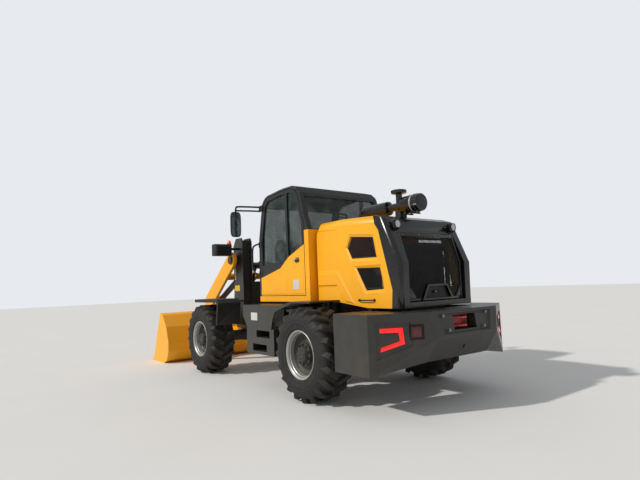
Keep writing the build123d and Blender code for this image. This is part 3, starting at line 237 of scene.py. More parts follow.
def span(outline, level, across):
    """Ends of the part of a line inside a convex outline; across is the index it is cut on."""
    other = 1 - across
    hits = []
    for start, end in zip(outline, outline[1:] + outline[:1]):
        if (start[across] - level) * (end[across] - level) < 0:
            share = (level - start[across]) / (end[across] - start[across])
            hits.append(start[other] + share * (end[other] - start[other]))
    return (min(hits), max(hits)) if len(hits) > 1 else None


# Materials


def feed(tree, socket, value):
    """Set an input to a number or a linear colour, or link it to another node's output."""
    if isinstance(value, bpy.types.NodeSocket):
        tree.links.new(value, socket)
    elif isinstance(value, tuple):
        socket.default_value = (*value, 1)
    else:
        socket.default_value = value


def dress(tree, node, values):
    """Feed a node's inputs by name."""
    for name, value in values.items():
        feed(tree, node.inputs[name], value)


def graph(name):
    """New node material, its tree, its shader and its object coordinates."""
    material = bpy.data.materials.new(name)
    material.use_nodes = True
    tree = material.node_tree
    where = tree.nodes.new("ShaderNodeTexCoord").outputs["Object"]
    return material, tree, tree.nodes["Principled BSDF"], where


def noise(tree, where, scale, detail=4.0, roughness=0.55):
    """Noise on object coordinates."""
    made = tree.nodes.new("ShaderNodeTexNoise")
    dress(tree, made, {"Vector": where, "Scale": scale, "Detail": detail,
                       "Roughness": roughness})
    return made.outputs["Fac"]


def ramp(tree, value, low, high, low_out=0.0, high_out=1.0):
    """Map a value from one range to another, clamped."""
    made = tree.nodes.new("ShaderNodeMapRange")
    dress(tree, made, {"Value": value, "From Min": low, "From Max": high, "To Min": low_out,
                       "To Max": high_out})
    return made.outputs["Result"]


def math_node(tree, operation, *values):
    """Math node; each value is a socket or a number."""
    made = tree.nodes.new("ShaderNodeMath")
    made.operation = operation
    for socket, value in zip(made.inputs, values):
        feed(tree, socket, value)
    return made.outputs[0]


def coordinate(tree, vector, axis):
    """One coordinate of a vector."""
    made = tree.nodes.new("ShaderNodeSeparateXYZ")
    feed(tree, made.inputs[0], vector)
    return made.outputs[axis]


def linear(colour):
    """Linear colour that a shader takes for an sRGB one, by the standard's two-part curve."""
    return tuple(c / 12.92 if c <= 0.04045 else ((c + 0.055) / 1.055) ** 2.4 for c in colour)


def shade(colour, share):
    """Colour made darker or lighter by a share."""
    return tuple(c * share for c in colour)


def colour_mix(tree, share, first, second):
    """Mix of two colours; each is a linear colour or a socket."""
    made = tree.nodes.new("ShaderNodeMix")
    made.data_type = "RGBA"
    # the colour pair of this node is its inputs 6 and 7, and output 2
    for index, value in ((0, share), (6, first), (7, second)):
        feed(tree, made.inputs[index], value)
    return made.outputs[2]


def emboss(tree, shader, height, strength, distance):
    """Bump the shader's surface by a height."""
    relief = tree.nodes.new("ShaderNodeBump")
    dress(tree, relief, {"Strength": strength, "Distance": distance, "Height": height})
    feed(tree, shader.inputs["Normal"], relief.outputs["Normal"])


DUST = linear((0.52, 0.47, 0.40))
TREAD_DUST = linear((0.40, 0.35, 0.30))
GLASS_FILM = linear((0.34, 0.40, 0.38))
DUST_TOP_Z = 1.3
MACHINE_MIDDLE_X = (AXLE_X["front"] + AXLE_X["rear"]) / 2


def weathered(name, colour, rough=0.45, metallic=0.0, coat=0.0, dust=0.35, vary=0.12,
              grain=900.0, bump=0.05):
    """Finish with slow colour change, fine grain, and dust on flat tops and low down."""
    material, tree, shader, where = graph(name)
    base = linear(colour)
    slow = ramp(tree, noise(tree, where, 2.2, 5.0), 0.35, 0.65)
    tone = colour_mix(tree, slow, shade(base, 1 - vary * 2), base)
    low = ramp(tree, coordinate(tree, where, "Z"), 0.1, DUST_TOP_Z, 1.0, 0.12)
    normal = tree.nodes.new("ShaderNodeNewGeometry").outputs["Normal"]
    flat = ramp(tree, coordinate(tree, normal, "Z"), 0.35, 0.95, 0.0, 0.75)
    patch = ramp(tree, noise(tree, where, 7.0, 8.0, 0.65), 0.42, 0.72)
    cover = math_node(tree, "MAXIMUM", low, flat)
    amount = math_node(tree, "MULTIPLY", math_node(tree, "MULTIPLY", cover, patch), dust)
    wide = ramp(tree, noise(tree, where, 14.0), 0.3, 0.7, rough - 0.07, rough + 0.09)
    dress(tree, shader, {
        "Base Color": colour_mix(tree, amount, tone, DUST),
        "Roughness": math_node(tree, "ADD", wide, math_node(tree, "MULTIPLY", amount, 0.5)),
        "Metallic": metallic, "Coat Weight": coat, "Coat Roughness": 0.12})
    emboss(tree, shader, noise(tree, where, grain, 2.0), bump, 0.001)
    return material


def rubber(name, colour):
    """Tyre rubber: darker in the sidewall, brown dust on the tread and in the grooves."""
    material, tree, shader, where = graph(name)
    x = coordinate(tree, where, "X")
    front = math_node(tree, "GREATER_THAN", x, MACHINE_MIDDLE_X)
    axle = math_node(tree, "MULTIPLY_ADD", front, AXLE_X["front"] - AXLE_X["rear"],
                     AXLE_X["rear"])
    out_x = math_node(tree, "SUBTRACT", x, axle)
    out_z = math_node(tree, "SUBTRACT", coordinate(tree, where, "Z"), AXLE_Z)
    reach = math_node(tree, "SQRT", math_node(
        tree, "ADD", math_node(tree, "MULTIPLY", out_x, out_x),
        math_node(tree, "MULTIPLY", out_z, out_z)))
    tread = ramp(tree, reach, 0.43, 0.52, 0.10, 1.0)
    patch = ramp(tree, noise(tree, where, 11.0, 8.0, 0.7), 0.36, 0.66)
    amount = math_node(tree, "MULTIPLY", math_node(tree, "MULTIPLY", tread, patch), 0.32)
    base = linear(colour)
    slow = colour_mix(tree, noise(tree, where, 3.0), shade(base, 0.75), shade(base, 1.15))
    dress(tree, shader, {"Base Color": colour_mix(tree, amount, slow, TREAD_DUST),
                         "Roughness": ramp(tree, patch, 0.0, 1.0, 0.62, 0.9)})
    emboss(tree, shader, noise(tree, where, 160.0), 0.35, 0.002)
    return material


def clear_pane(name, colour, alpha):
    """Tinted glass with a faint film of dust."""
    material, tree, shader, where = graph(name)
    film = ramp(tree, noise(tree, where, 6.0, 6.0), 0.4, 0.75)
    dress(tree, shader, {
        "Base Color": colour_mix(tree, film, linear(colour), GLASS_FILM),
        "Alpha": ramp(tree, film, 0.0, 1.0, alpha, alpha + 0.08),
        "Roughness": ramp(tree, film, 0.0, 1.0, 0.03, 0.14), "IOR": 1.5})
    return material


def lens(name, colour, glow):
    """Ribbed lamp lens that glows a little."""
    material, tree, shader, where = graph(name)
    cells = tree.nodes.new("ShaderNodeTexVoronoi")
    dress(tree, cells, {"Vector": where, "Scale": 90.0})
    depth = cells.outputs["Distance"]
    base = linear(colour)
    tone = colour_mix(tree, depth, shade(base, 0.6), base)
    dress(tree, shader, {"Base Color": tone, "Emission Color": tone,
                         "Emission Strength": glow, "Roughness": 0.12, "Coat Weight": 0.6})
    emboss(tree, shader, depth, 0.3, 0.002)
    return material


FINISH = {}


def make_finishes(finishes):
    """Every material of the machine, by plain name."""
    FINISH.update({
        "amber": weathered("amber_paint", finishes.amber, 0.42, coat=0.10, dust=0.06, vary=0.03),
        "graphite": weathered("graphite_paint", finishes.graphite, 0.40, coat=0.25, dust=0.15,
                              vary=0.08),
        "trim": weathered("black_trim", (0.055, 0.055, 0.056), 0.50, dust=0.18, grain=420.0,
                          bump=0.18),
        "steel": weathered("black_steel", (0.060, 0.060, 0.062), 0.38, coat=0.2, dust=0.15),
        "rubber": rubber("tyre_rubber", (0.085, 0.083, 0.080)),
        "gloss_black": weathered("gloss_black", (0.022, 0.023, 0.025), 0.22, coat=0.4, dust=0.06,
                                 vary=0.05),
        "roof_black": weathered("roof_black", (0.032, 0.032, 0.034), 0.50, dust=0.05,
                                vary=0.05),
        "mesh": weathered("wire_mesh", (0.17, 0.17, 0.17), 0.5, dust=0.25, bump=0.0),
        "core": weathered("radiator_core", (0.035, 0.036, 0.038), 0.6, dust=0.3, bump=0.0),
        "dark_bolt": weathered("dark_bolt", (0.20, 0.19, 0.18), 0.45, metallic=0.6, dust=0.4),
        "seal": weathered("seal_rubber", (0.05, 0.05, 0.05), 0.7, dust=0.2, bump=0.1),
        "silver": weathered("rim_silver", (0.74, 0.74, 0.72), 0.38, metallic=0.55, dust=0.35,
                            vary=0.10),
        "rim_grey": weathered("rim_grey", (0.17, 0.17, 0.165), 0.5, dust=0.3),
        "rod": weathered("bright_rod", (0.80, 0.81, 0.83), 0.12, metallic=1.0, dust=0.1,
                         vary=0.03, bump=0.0),
        "bolt": weathered("zinc_bolt", (0.66, 0.65, 0.62), 0.32, metallic=0.9, dust=0.25),
        "cast": weathered("cast_grey", (0.24, 0.24, 0.24), 0.65, dust=0.6, grain=260.0,
                          bump=0.5),
        "glass": clear_pane("cab_glass", (0.13, 0.19, 0.18), 0.46),
        "red_lens": lens("red_lens", (0.36, 0.03, 0.03), 0.02),
        "led": lens("red_light", (1.0, 0.06, 0.05), 0.9),
        "orange_lens": lens("orange_lens", (1.0, 0.38, 0.03), 0.2),
        "lamp": lens("lamp_lens", (0.86, 0.88, 0.90), 0.05),
        "red": weathered("red_paint", (0.72, 0.05, 0.07), 0.38, coat=0.3, dust=0.2),
        "cloth": weathered("seat_cloth", (0.09, 0.09, 0.10), 0.85, dust=0.12, grain=1400.0,
                           bump=0.5),
        "worn": weathered("worn_steel", (0.45, 0.44, 0.42), 0.42, metallic=0.8, dust=0.35,
                          vary=0.25, grain=300.0, bump=0.3),
        "plate": weathered("blank_plate", (0.80, 0.80, 0.78), 0.4, dust=0.2),
        "yellow_plate": weathered("yellow_plate", (0.93, 0.76, 0.10), 0.4, dust=0.2),
        "mirror": weathered("mirror_glass", (0.86, 0.88, 0.90), 0.05, metallic=1.0, dust=0.05,
                            vary=0.01, bump=0.0),
    })


# Carried-over solids that take each finish
NODE_FINISH = {
    "amber": ("hood", "cab_body", "boom", "bucket", "bell_crank", "tilt_link",
              "door_skin_left", "door_skin_right"),
    "graphite": ("counterweight", "platform", "rear_frame", "front_frame"),
    "gloss_black": ("hood_rear_frame",),
    "roof_black": ("cab_roof",),
    "trim": ("front_fenders", "head_lamps", "air_cleaner", "mirrors", "steering_column"),
    "steel": ("cab_frame", "door_left", "door_right", "hood_mesh", "rear_grille",
              "lift_barrels", "tilt_barrel", "steer_barrel_left", "steer_barrel_right"),
    "rod": ("lift_rods", "tilt_rod", "steer_rod_left", "steer_rod_right"),
    "cast": ("front_axle", "rear_axle", "engine_block"),
    "glass": ("cab_glass", "door_glass_left", "door_glass_right"),
    "red_lens": ("tail_lamps",),
    "lamp": ("work_lamps",),
    "red": ("tow_hitch",),
    "cloth": ("seat",),
    "rubber": tuple(f"tyre_{wheel}" for wheel in WHEELS),
    "silver": tuple(f"rim_{wheel}" for wheel in WHEELS),
}
KEEPS_EDGES = ("glass", "rod", "rubber", "silver")


# Settings


class LoaderFinishes(bpy.types.PropertyGroup):
    """Paint colours."""

    amber: bpy.props.FloatVectorProperty(
        name="Amber paint", description="Colour of the hood, cab and boom", subtype="COLOR",
        size=3, min=0, max=1, default=(0.985, 0.680, 0.0))
    graphite: bpy.props.FloatVectorProperty(
        name="Graphite paint", description="Colour of the counterweight and platform",
        subtype="COLOR", size=3, min=0, max=1, default=(0.165, 0.158, 0.144))


class LoaderView(bpy.types.PropertyGroup):
    """Camera and sun."""

    camera_place: bpy.props.FloatVectorProperty(
        name="Camera place", description="Where the camera stands", subtype="TRANSLATION",
        unit="LENGTH", size=3, default=(-6.394, 4.215, 1.314))
    camera_yaw: bpy.props.FloatProperty(
        name="Yaw", description="Heading of the view, from the forward axis", subtype="ANGLE",
        default=radians(-37.0))
    camera_pitch: bpy.props.FloatProperty(
        name="Pitch", description="Tilt of the view upwards", subtype="ANGLE",
        default=radians(5.4))
    camera_roll: bpy.props.FloatProperty(
        name="Roll", description="Turn of the view about its own axis", subtype="ANGLE",
        default=radians(-2.3))
    camera_lens: bpy.props.FloatProperty(
        name="Lens", description="Focal length in millimetres on a 36 mm sensor", min=10,
        max=100, default=26.82)
    sun_strength: bpy.props.FloatProperty(
        name="Sun strength", description="Irradiance of the sun in watts a square metre",
        subtype="UNSIGNED", min=0, default=2.5)


# Operators


class LOADER_OT_finishes(bpy.types.Operator):
    """Give every carried-over solid its finish and rounded edges"""

    bl_idname = "loader.finishes"
    bl_label = "Finishes"

    def execute(self, context):
        make_finishes(context.scene.loader_finishes)
        for kind, nodes in NODE_FINISH.items():
            for node in nodes:
                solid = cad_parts[node]
                solid.data.materials.clear()
                solid.data.materials.append(FINISH[kind])
                if kind not in KEEPS_EDGES:
                    weld = solid.modifiers.new("Weld", "WELD")
                    weld.merge_threshold = WELD_DISTANCE
                    soften(solid, SOLID_EDGE)
        return {"FINISHED"}


# Tyre, in the wheel's own place with the axle along Y
LUG_ANGLE = radians(32)
LUG_WIDTH = 0.062
LUG_INNER = 0.012
LUG_OUTER = 0.205 - LUG_WIDTH / 2 * sin(LUG_ANGLE)
LUG_TOP = 0.531
LUG_COUNT = 20
CARCASS = [
    # distance from the middle, radius: one side, from the bead out to the crown
    (0.160, 0.2545), (0.170, 0.258), (0.178, 0.276), (0.184, 0.288), (0.190, 0.292),
    (0.194, 0.300), (0.193, 0.306), (0.199, 0.330), (0.2025, 0.352), (0.2045, 0.356),
    (0.2045, 0.362), (0.2030, 0.365), (0.2040, 0.392), (0.2045, 0.398), (0.2045, 0.404),
    (0.2030, 0.408), (0.1990, 0.430), (0.1900, 0.453), (0.1760, 0.472), (0.1500, 0.487),
    (0.1100, 0.491), (0.0500, 0.493),
]
LUG_STATIONS = [
    # distance from the middle, top radius, root radius, top half width, root half width
    (LUG_INNER, 0.528, 0.470, 0.024, 0.034),
    (LUG_INNER + 0.012, LUG_TOP, 0.470, 0.028, 0.038),
    (0.110, LUG_TOP, 0.466, 0.029, 0.040),
    (LUG_OUTER - 0.036, LUG_TOP, 0.448, 0.031, 0.041),
    (LUG_OUTER - 0.012, 0.497, 0.420, 0.030, 0.036),
    (LUG_OUTER, 0.440, 0.395, 0.026, 0.030),
]
WHEEL_STEPS = 80


def lug_shape(bm):
    """One slanting lug at the top of a tyre, with drafted flanks and a sloping shoulder."""
    run = Vector((sin(LUG_ANGLE), cos(LUG_ANGLE), 0))
    flank = Vector((cos(LUG_ANGLE), -sin(LUG_ANGLE), 0))
    stretch = 1 / cos(LUG_ANGLE)
    shift = (LUG_INNER + LUG_OUTER) / 2 * tan(LUG_ANGLE)
    rows = []
    for reach, top, root, top_half, root_half in LUG_STATIONS:
        middle = run * reach * stretch - Vector((shift, 0, 0))
        rows.append([bm.verts.new(middle + flank * half + Vector((0, 0, height)))
                     for half, height in ((-root_half, root), (-top_half, top),
                                          (top_half, top), (root_half, root))])
    for first, second in zip(rows, rows[1:]):
        for k in range(4):
            bm.faces.new((first[k], first[(k + 1) % 4], second[(k + 1) % 4], second[k]))
    bm.faces.new(rows[0])
    bm.faces.new(rows[-1][::-1])
    bmesh.ops.recalc_face_normals(bm, faces=bm.faces[:])
    rounded(bm, 0.004, angle=35)


def wheel_place(wheel):
    """Centre of a wheel and the hand of the side it is on."""
    hand = 1 if wheel.endswith("left") else -1
    return Vector((AXLE_X[wheel.split("_")[0]], hand * TRACK_HALF, AXLE_Z)), hand


class LOADER_OT_tyres(bpy.types.Operator):
    """Four lugged tyres"""

    bl_idname = "loader.tyres"
    bl_label = "Tyres"

    def execute(self, context):
        pattern = bmesh.new()
        lug_shape(pattern)
        lug = bpy.data.meshes.new("lug_pattern")
        pattern.to_mesh(lug)
        pattern.free()
        section = [(-y, radius) for y, radius in CARCASS] + CARCASS[::-1]
        for wheel in WHEELS:
            centre, hand = wheel_place(wheel)
            bm = bmesh.new()
            lathe(bm, section + section[:1], (0, 0, 0), LEFTWARD, WHEEL_STEPS)
            for row, offset in ((1, 0), (-1, 0.5)):
                for index in range(LUG_COUNT):
                    before = set(bm.verts)
                    bm.from_mesh(lug)
                    made = [vert for vert in bm.verts if vert not in before]
                    bmesh.ops.scale(bm, vec=(1, row, 1), verts=made)
                    turn = Matrix.Rotation(pi + (index + offset) * 2 * pi / LUG_COUNT, 4, "Y")
                    bmesh.ops.transform(bm, matrix=turn, verts=made)
            bmesh.ops.scale(bm, vec=(1, hand, 1), verts=bm.verts[:])
            bmesh.ops.translate(bm, vec=centre, verts=bm.verts[:])
            finish(bm, f"lugged_tyre_{wheel}", f"wheel_{wheel}", "rubber",
                   replaces=(f"tyre_{wheel}",))
        bpy.data.meshes.remove(lug)
        return {"FINISHED"}


RIM_RING = [
    # distance outward from the wheel's middle, radius: a closed section
    (-0.183, 0.270), (-0.180, 0.2765), (-0.174, 0.2765), (-0.169, 0.262), (-0.166, 0.2536),
    (0.166, 0.2536), (0.169, 0.262), (0.174, 0.2740), (0.179, 0.2768), (0.184, 0.2755),
    (0.1865, 0.2705), (0.184, 0.265), (0.178, 0.262), (0.172, 0.253), (0.160, 0.2485),
    (0.150, 0.246), (0.146, 0.240), (0.100, 0.237), (0.090, 0.2335), (-0.160, 0.2335),
    (-0.172, 0.245), (-0.178, 0.262), (-0.183, 0.270),
]
RIM_DISC = [
    # the same, for the dished disc and the hub
    (0.100, 0.2365), (0.0935, 0.232), (0.091, 0.222), (0.080, 0.214), (0.072, 0.196),
    (0.072, 0.176), (0.082, 0.160), (0.096, 0.150), (0.099, 0.140), (0.099, 0.134),
    (0.126, 0.132), (0.129, 0.129), (0.129, 0.094), (0.136, 0.090), (0.158, 0.084),
    (0.163, 0.079), (0.163, 0.030), (0.160, 0.026), (0.160, 0.0),
]
DISC_THICK = 0.012
DISC_BACK = [(reach - DISC_THICK, radius) for reach, radius in RIM_DISC[:12]] + [(0.117, 0.0)]


def ring_spots(centre, out, radius, reach, count, first=0.0):
    """Points evenly round a wheel's axle, at a radius and a distance outward."""
    for index in range(count):
        turn = Matrix.Rotation(index * 2 * pi / count + first, 3, "Y")
        yield centre + turn @ Vector((0, 0, radius)) + out * reach


class LOADER_OT_rims(bpy.types.Operator):
    """Wheel rims: a bright flange ring, a dark dished disc, the hub and its bolts"""

    bl_idname = "loader.rims"
    bl_label = "Rims"

    def execute(self, context):
        for wheel in WHEELS:
            centre, hand = wheel_place(wheel)
            out = Vector((0, hand, 0))
            body = f"wheel_{wheel}"
            bm = bmesh.new()
            lathe(bm, RIM_RING, centre, out, WHEEL_STEPS)
            finish(bm, f"rim_ring_{wheel}", body, "silver", replaces=(f"rim_{wheel}",))

            bm = bmesh.new()
            lathe(bm, RIM_DISC, centre, out, 64)
            lathe(bm, DISC_BACK, centre, out, 64)
            for spot in ring_spots(centre, out, 0.196, 0.070, 4, 0.4):
                bar(bm, spot, spot + out * 0.006, 0.017, 20)
            finish(bm, f"rim_disc_{wheel}", body, "rim_grey")

            bm = bmesh.new()
            for spot in ring_spots(centre, out, 0.112, 0.129, 10):
                hex_bolt(bm, spot, out, 0.022)
                bar(bm, spot, spot + out * 0.022, 0.0065, 10)
            for spot in ring_spots(centre, out, 0.058, 0.163, 8, 0.2):
                hex_bolt(bm, spot, out, 0.013, washer=False)
            finish(bm, f"wheel_bolts_{wheel}", body, "dark_bolt", crease=BOLT_CREASE_ANGLE)
        return {"FINISHED"}


# Side view of the grille's frame: its outer face from the top down, its inner face back up
GRILLE_TOP_Z = 1.849
GRILLE_LOW_Z = 1.099
GRILLE_OUTER = [(-2.810, GRILLE_TOP_Z), (-2.915, 1.518), (-2.912, GRILLE_LOW_Z)]
GRILLE_INNER = [(-2.872, GRILLE_LOW_Z), (-2.875, 1.512), (-2.768, GRILLE_TOP_Z)]
GRILLE_HALF = 0.465
GRILLE_RIM = 0.034
GRILLE_OVERLAP = 0.004
GRILLE_PITCH = 0.0105
GRILLE_WIRE = 0.0015
LATCH_SURROUND = [(0.262, 1.104), (0.172, 1.268), (0.156, 1.280), (-0.156, 1.280),
                  (-0.172, 1.268), (-0.262, 1.104)]
LATCH_PANEL = [(0.235, 1.118), (0.160, 1.256), (-0.160, 1.256), (-0.235, 1.118)]
LATCH_Z = 1.193
CORE_BACK_X, CORE_FRONT_X = -2.797, -2.784


def grille_x(z, inset=0.0):
    """Depth of the grille's outer face at a height."""
    (top_x, top_z), (fold_x, fold_z), (low_x, low_z) = GRILLE_OUTER
    if z > fold_z:
        return top_x + (fold_x - top_x) * (top_z - z) / (top_z - fold_z) + inset
    return fold_x + (low_x - fold_x) * (fold_z - z) / (fold_z - low_z) + inset


class LOADER_OT_rear_grille(bpy.types.Operator):
    """Rear grille: its frame, the woven mesh, the latch in its surround and the radiator"""

    bl_idname = "loader.rear_grille"
    bl_label = "Rear grille"

    def execute(self, context):
        edge = GRILLE_HALF - GRILLE_RIM
        inner = edge + GRILLE_OVERLAP
        bm = bmesh.new()
        for hand in SIDES:
            prism(bm, GRILLE_OUTER + GRILLE_INNER, "y", *beside(hand, GRILLE_HALF, edge))
            corner = [(hand * y, z) for y, z in (
                (inner, 1.128), (inner, 1.260), (edge - 0.022, 1.238), (edge - 0.088, 1.152),
                (edge - 0.100, 1.128))]
            prism(bm, corner, "x", -2.9135, -2.880)
        prism(bm, [(grille_x(GRILLE_TOP_Z), GRILLE_TOP_Z), (grille_x(1.806), 1.806),
                   (-2.782, 1.806), (-2.768, GRILLE_TOP_Z)], "y", -inner, inner)
        prism(bm, [(-2.9135, 1.132), (-2.912, GRILLE_LOW_Z), (-2.872, GRILLE_LOW_Z),
                   (-2.872, 1.132)], "y", -inner, inner)
        rounded(bm, 0.006)
        finish(bm, "grille_frame", "rear_grille", "gloss_black",
               replaces=("rear_grille",))

        bm = bmesh.new()
        for index in range(1, int(2 * GRILLE_HALF / GRILLE_PITCH)):
            y = -GRILLE_HALF + index * GRILLE_PITCH
            if abs(y) < inner:
                for z_low, z_high in ((1.515, 1.812), (1.12, 1.515)):
                    bar(bm, (grille_x(z_low, 0.012), y, z_low),
                        (grille_x(z_high, 0.012), y, z_high), GRILLE_WIRE, 4)
        for index in range(int(0.69 / GRILLE_PITCH)):
            z = 1.12 + index * GRILLE_PITCH
            x = grille_x(z, 0.0145)
            bar(bm, (x, -inner, z), (x, inner, z), GRILLE_WIRE, 4)
        finish(bm, "grille_mesh", "rear_grille", "mesh")

        bm = bmesh.new()
        frame_ring(bm, LATCH_SURROUND, 0.026, "x", -2.936, -2.895)
        rounded(bm, 0.005)
        finish(bm, "latch_surround", "rear_grille", "gloss_black")

        bm = bmesh.new()
        prism(bm, LATCH_PANEL, "x", -2.905, -2.893)
        rounded(bm, 0.002, 1)
        brick(bm, (-2.922, -0.055, LATCH_Z - 0.015), (-2.904, 0.055, LATCH_Z + 0.015))
        bar(bm, (-2.905, -0.030, LATCH_Z), (-2.930, -0.030, LATCH_Z), 0.010, 20)
        finish(bm, "latch_panel", "rear_grille", "trim", bevel=0.0015)

        bm = bmesh.new()
        bar(bm, (-2.922, 0.030, LATCH_Z), (-2.926, 0.030, LATCH_Z), 0.008, 20)
        for y in (-0.395, -0.395 / 3, 0.395 / 3, 0.395):
            hex_bolt(bm, (grille_x(1.828) - 0.001, y, 1.828), (-0.953, 0, 0.302), 0.010)
        finish(bm, "grille_screws", "rear_grille", "bolt", crease=BOLT_CREASE_ANGLE)

        bm = bmesh.new()
        for hand in SIDES:
            brick(bm, (-2.800, hand * 0.36 - 0.025, 1.10), (-2.781, hand * 0.36 + 0.025, 1.74))
        for z in (1.10, 1.70):
            brick(bm, (-2.802, -0.36, z), (-2.781, 0.36, z + 0.045))
        for index in range(44):
            z = 1.158 + index * 0.0123
            brick(bm, (CORE_BACK_X, -0.34, z), (CORE_FRONT_X, 0.34, z + 0.003))
        for index in range(24):
            y = -0.322 + index * 0.028
            bar(bm, (-2.787, y, 1.14), (-2.787, y, 1.70), 0.004, 6)
        finish(bm, "radiator_core", "rear_frame", "core")
        return {"FINISHED"}


# Vents of the hood, as (x, z) points on its side
VENTS = [
    [(-2.119, 1.740), (-2.177, 1.858), (-2.547, 1.819), (-2.589, 1.600), (-2.192, 1.612)],
    [(-2.264, 1.487), (-2.637, 1.478), (-2.690, 1.256), (-2.409, 1.251)],
]
VENT_PITCH = 0.0125
VENT_FACE_Y = 0.5815
GRIP_FOOT = [(0, 0.0), (0, 0.017), (0.004, 0.017), (0.006, 0.012), (0.006, 0.0)]
GRIP_FACE_Y = 0.600
GRIP_Z = 1.126
# Run of a hood grip: x, and how far it stands off the hood
GRIP_RUN = ((-2.300, 0.0), (-2.300, 0.030), (-2.345, 0.034), (-2.500, 0.034), (-2.545, 0.030),
            (-2.545, 0.0))


class LOADER_OT_hood_trim(bpy.types.Operator):
    """Wire mesh and frames of the hood's vents, and the grips below them"""

    bl_idname = "loader.hood_trim"
    bl_label = "Hood trim"

    def execute(self, context):
        bm = bmesh.new()
        for hand in SIDES:
            for vent in VENTS:
                for across in (0, 1):
                    low = min(point[across] for point in vent)
                    high = max(point[across] for point in vent)
                    y = hand * VENT_FACE_Y - hand * 0.002 * across
                    for index in range(1, int((high - low) / VENT_PITCH) + 1):
                        level = low + index * VENT_PITCH
                        ends = span(vent, level, across)
                        if ends:
                            start, end = [(end, y, level) if across else (level, y, end)
                                          for end in ends]
                            bar(bm, start, end, 0.0016, 4)
        finish(bm, "vent_mesh", "rear_frame", "mesh", replaces=("hood_mesh",))

        bm = bmesh.new()
        for hand in SIDES:
            for vent in VENTS:
                middle = [sum(point[k] for point in vent) / len(vent) for k in (0, 1)]
                wide = [(middle[0] + (x - middle[0]) * 1.035, middle[1] + (z - middle[1]) * 1.05)
                        for x, z in vent]
                frame_ring(bm, wide, 0.013, "y", *beside(hand, 0.5775, 0.5905))
        rounded(bm, 0.003)
        finish(bm, "vent_frames", "rear_frame", "trim")

        for hand, side in SIDES.items():
            y = hand * GRIP_FACE_Y
            bm = bmesh.new()
            for x in (GRIP_RUN[0][0], GRIP_RUN[-1][0]):
                lathe(bm, GRIP_FOOT, (x, y, GRIP_Z), (0, hand, 0), 20)
            finish(bm, f"hood_grip_feet_{side}", "rear_frame", "trim")
            tube(f"hood_grip_{side}", [(x, y + hand * stand, GRIP_Z) for x, stand in GRIP_RUN],
                 0.0075, "rear_frame", "trim")
        return {"FINISHED"}


# On the counterweight's slanting corner: distance along it, height
LIGHT_BAR = [(0.120, 0.872), (0.350, 0.872), (0.365, 0.716), (0.120, 0.650),
             (0.126, 0.690), (0.318, 0.745), (0.306, 0.830), (0.120, 0.830)]
LAMP_CENTRE = (0.490, 0.825)
LAMP_CELL_PITCH = 0.024


def on_corner(hand):
    """Place of the counterweight's slanting corner: distance along it, height, and outward."""
    start = Vector((-2.960, hand * 1.105, 0))
    along = Vector((-0.339, -hand * 0.605, 0)).normalized()
    out = Vector((-0.605, hand * 0.339, 0)).normalized()
    turn = Matrix((along, UPWARD, out)).transposed().to_4x4()
    return Matrix.Translation(start) @ turn


def finish_on_corner(bm, hand, name, kind, replaces=()):
    """Carry a mesh drawn flat onto the counterweight's corner, and finish it."""
    bmesh.ops.transform(bm, matrix=on_corner(hand), verts=bm.verts[:])
    finish(bm, f"{name}_{SIDES[hand]}", "rear_frame", kind, replaces=replaces)


class LOADER_OT_rear_lamps(bpy.types.Operator):
    """Red light bars and square rear lamps in the counterweight's corners"""

    bl_idname = "loader.rear_lamps"
    bl_label = "Rear lamps"

    def execute(self, context):
        for hand in SIDES:
            bm = bmesh.new()
            prism(bm, LIGHT_BAR, "z", -0.012, -0.003)
            rounded(bm, 0.003)
            finish_on_corner(bm, hand, "light_bar", "led", replaces=("tail_lamps",))

            bm = bmesh.new()
            prism(bm, square(LAMP_CENTRE, 0.066), "z", -0.034, -0.010)
            rounded(bm, 0.012, 3)
            frame_ring(bm, square(LAMP_CENTRE, 0.064), 0.011, "z", -0.012, 0.004)
            finish_on_corner(bm, hand, "lamp_housing", "trim")

            bm = bmesh.new()
            prism(bm, square(LAMP_CENTRE, 0.052), "z", -0.010, -0.001)
            rounded(bm, 0.006, 3)
            for row in range(4):
                for column in range(4):
                    spot = (LAMP_CENTRE[0] + (column - 1.5) * LAMP_CELL_PITCH,
                            LAMP_CENTRE[1] + (row - 1.5) * LAMP_CELL_PITCH, -0.001)
                    lathe(bm, [(0.0, 0.0075), (0.0022, 0.005), (0.0028, 0.0)], spot, UPWARD, 12)
            finish_on_corner(bm, hand, "lamp_glass", "red_lens")
        return {"FINISHED"}


# The counterweight's rear face: where it starts, how far it leans with height, and outward
REAR_FACE_X, REAR_FACE_Z, REAR_FACE_LEAN = -3.299, 0.748, 0.1527
REAR_FACE_OUT = (-0.9885, 0, 0.151)


class LOADER_OT_rear_bolts(bpy.types.Operator):
    """Bolts of the counterweight and the towing hitch"""

    bl_idname = "loader.rear_bolts"
    bl_label = "Rear bolts"

    def execute(self, context):
        bm = bmesh.new()
        for hand in SIDES:
            for y, z in ((0.355, 0.958), (0.292, 0.814)):
                x = REAR_FACE_X + (z - REAR_FACE_Z) * REAR_FACE_LEAN
                hex_bolt(bm, (x, hand * y, z), REAR_FACE_OUT, 0.022, 0.0055)
            hex_bolt(bm, (-3.156, hand * 0.13, 0.88), BACKWARD, 0.030)
        finish(bm, "rear_bolts", "rear_frame", "bolt", crease=BOLT_CREASE_ANGLE)
        return {"FINISHED"}


DOOR_FACE_Y = 0.705
HANDLE_PLATE = [(-1.262, 1.640), (-1.250, 1.686), (-1.190, 1.680), (-1.170, 1.652),
                (-1.190, 1.628), (-1.250, 1.628)]
DOOR_LABEL = [(-1.250, 1.270), (-1.250, 1.395), (-1.110, 1.395), (-1.110, 1.270)]
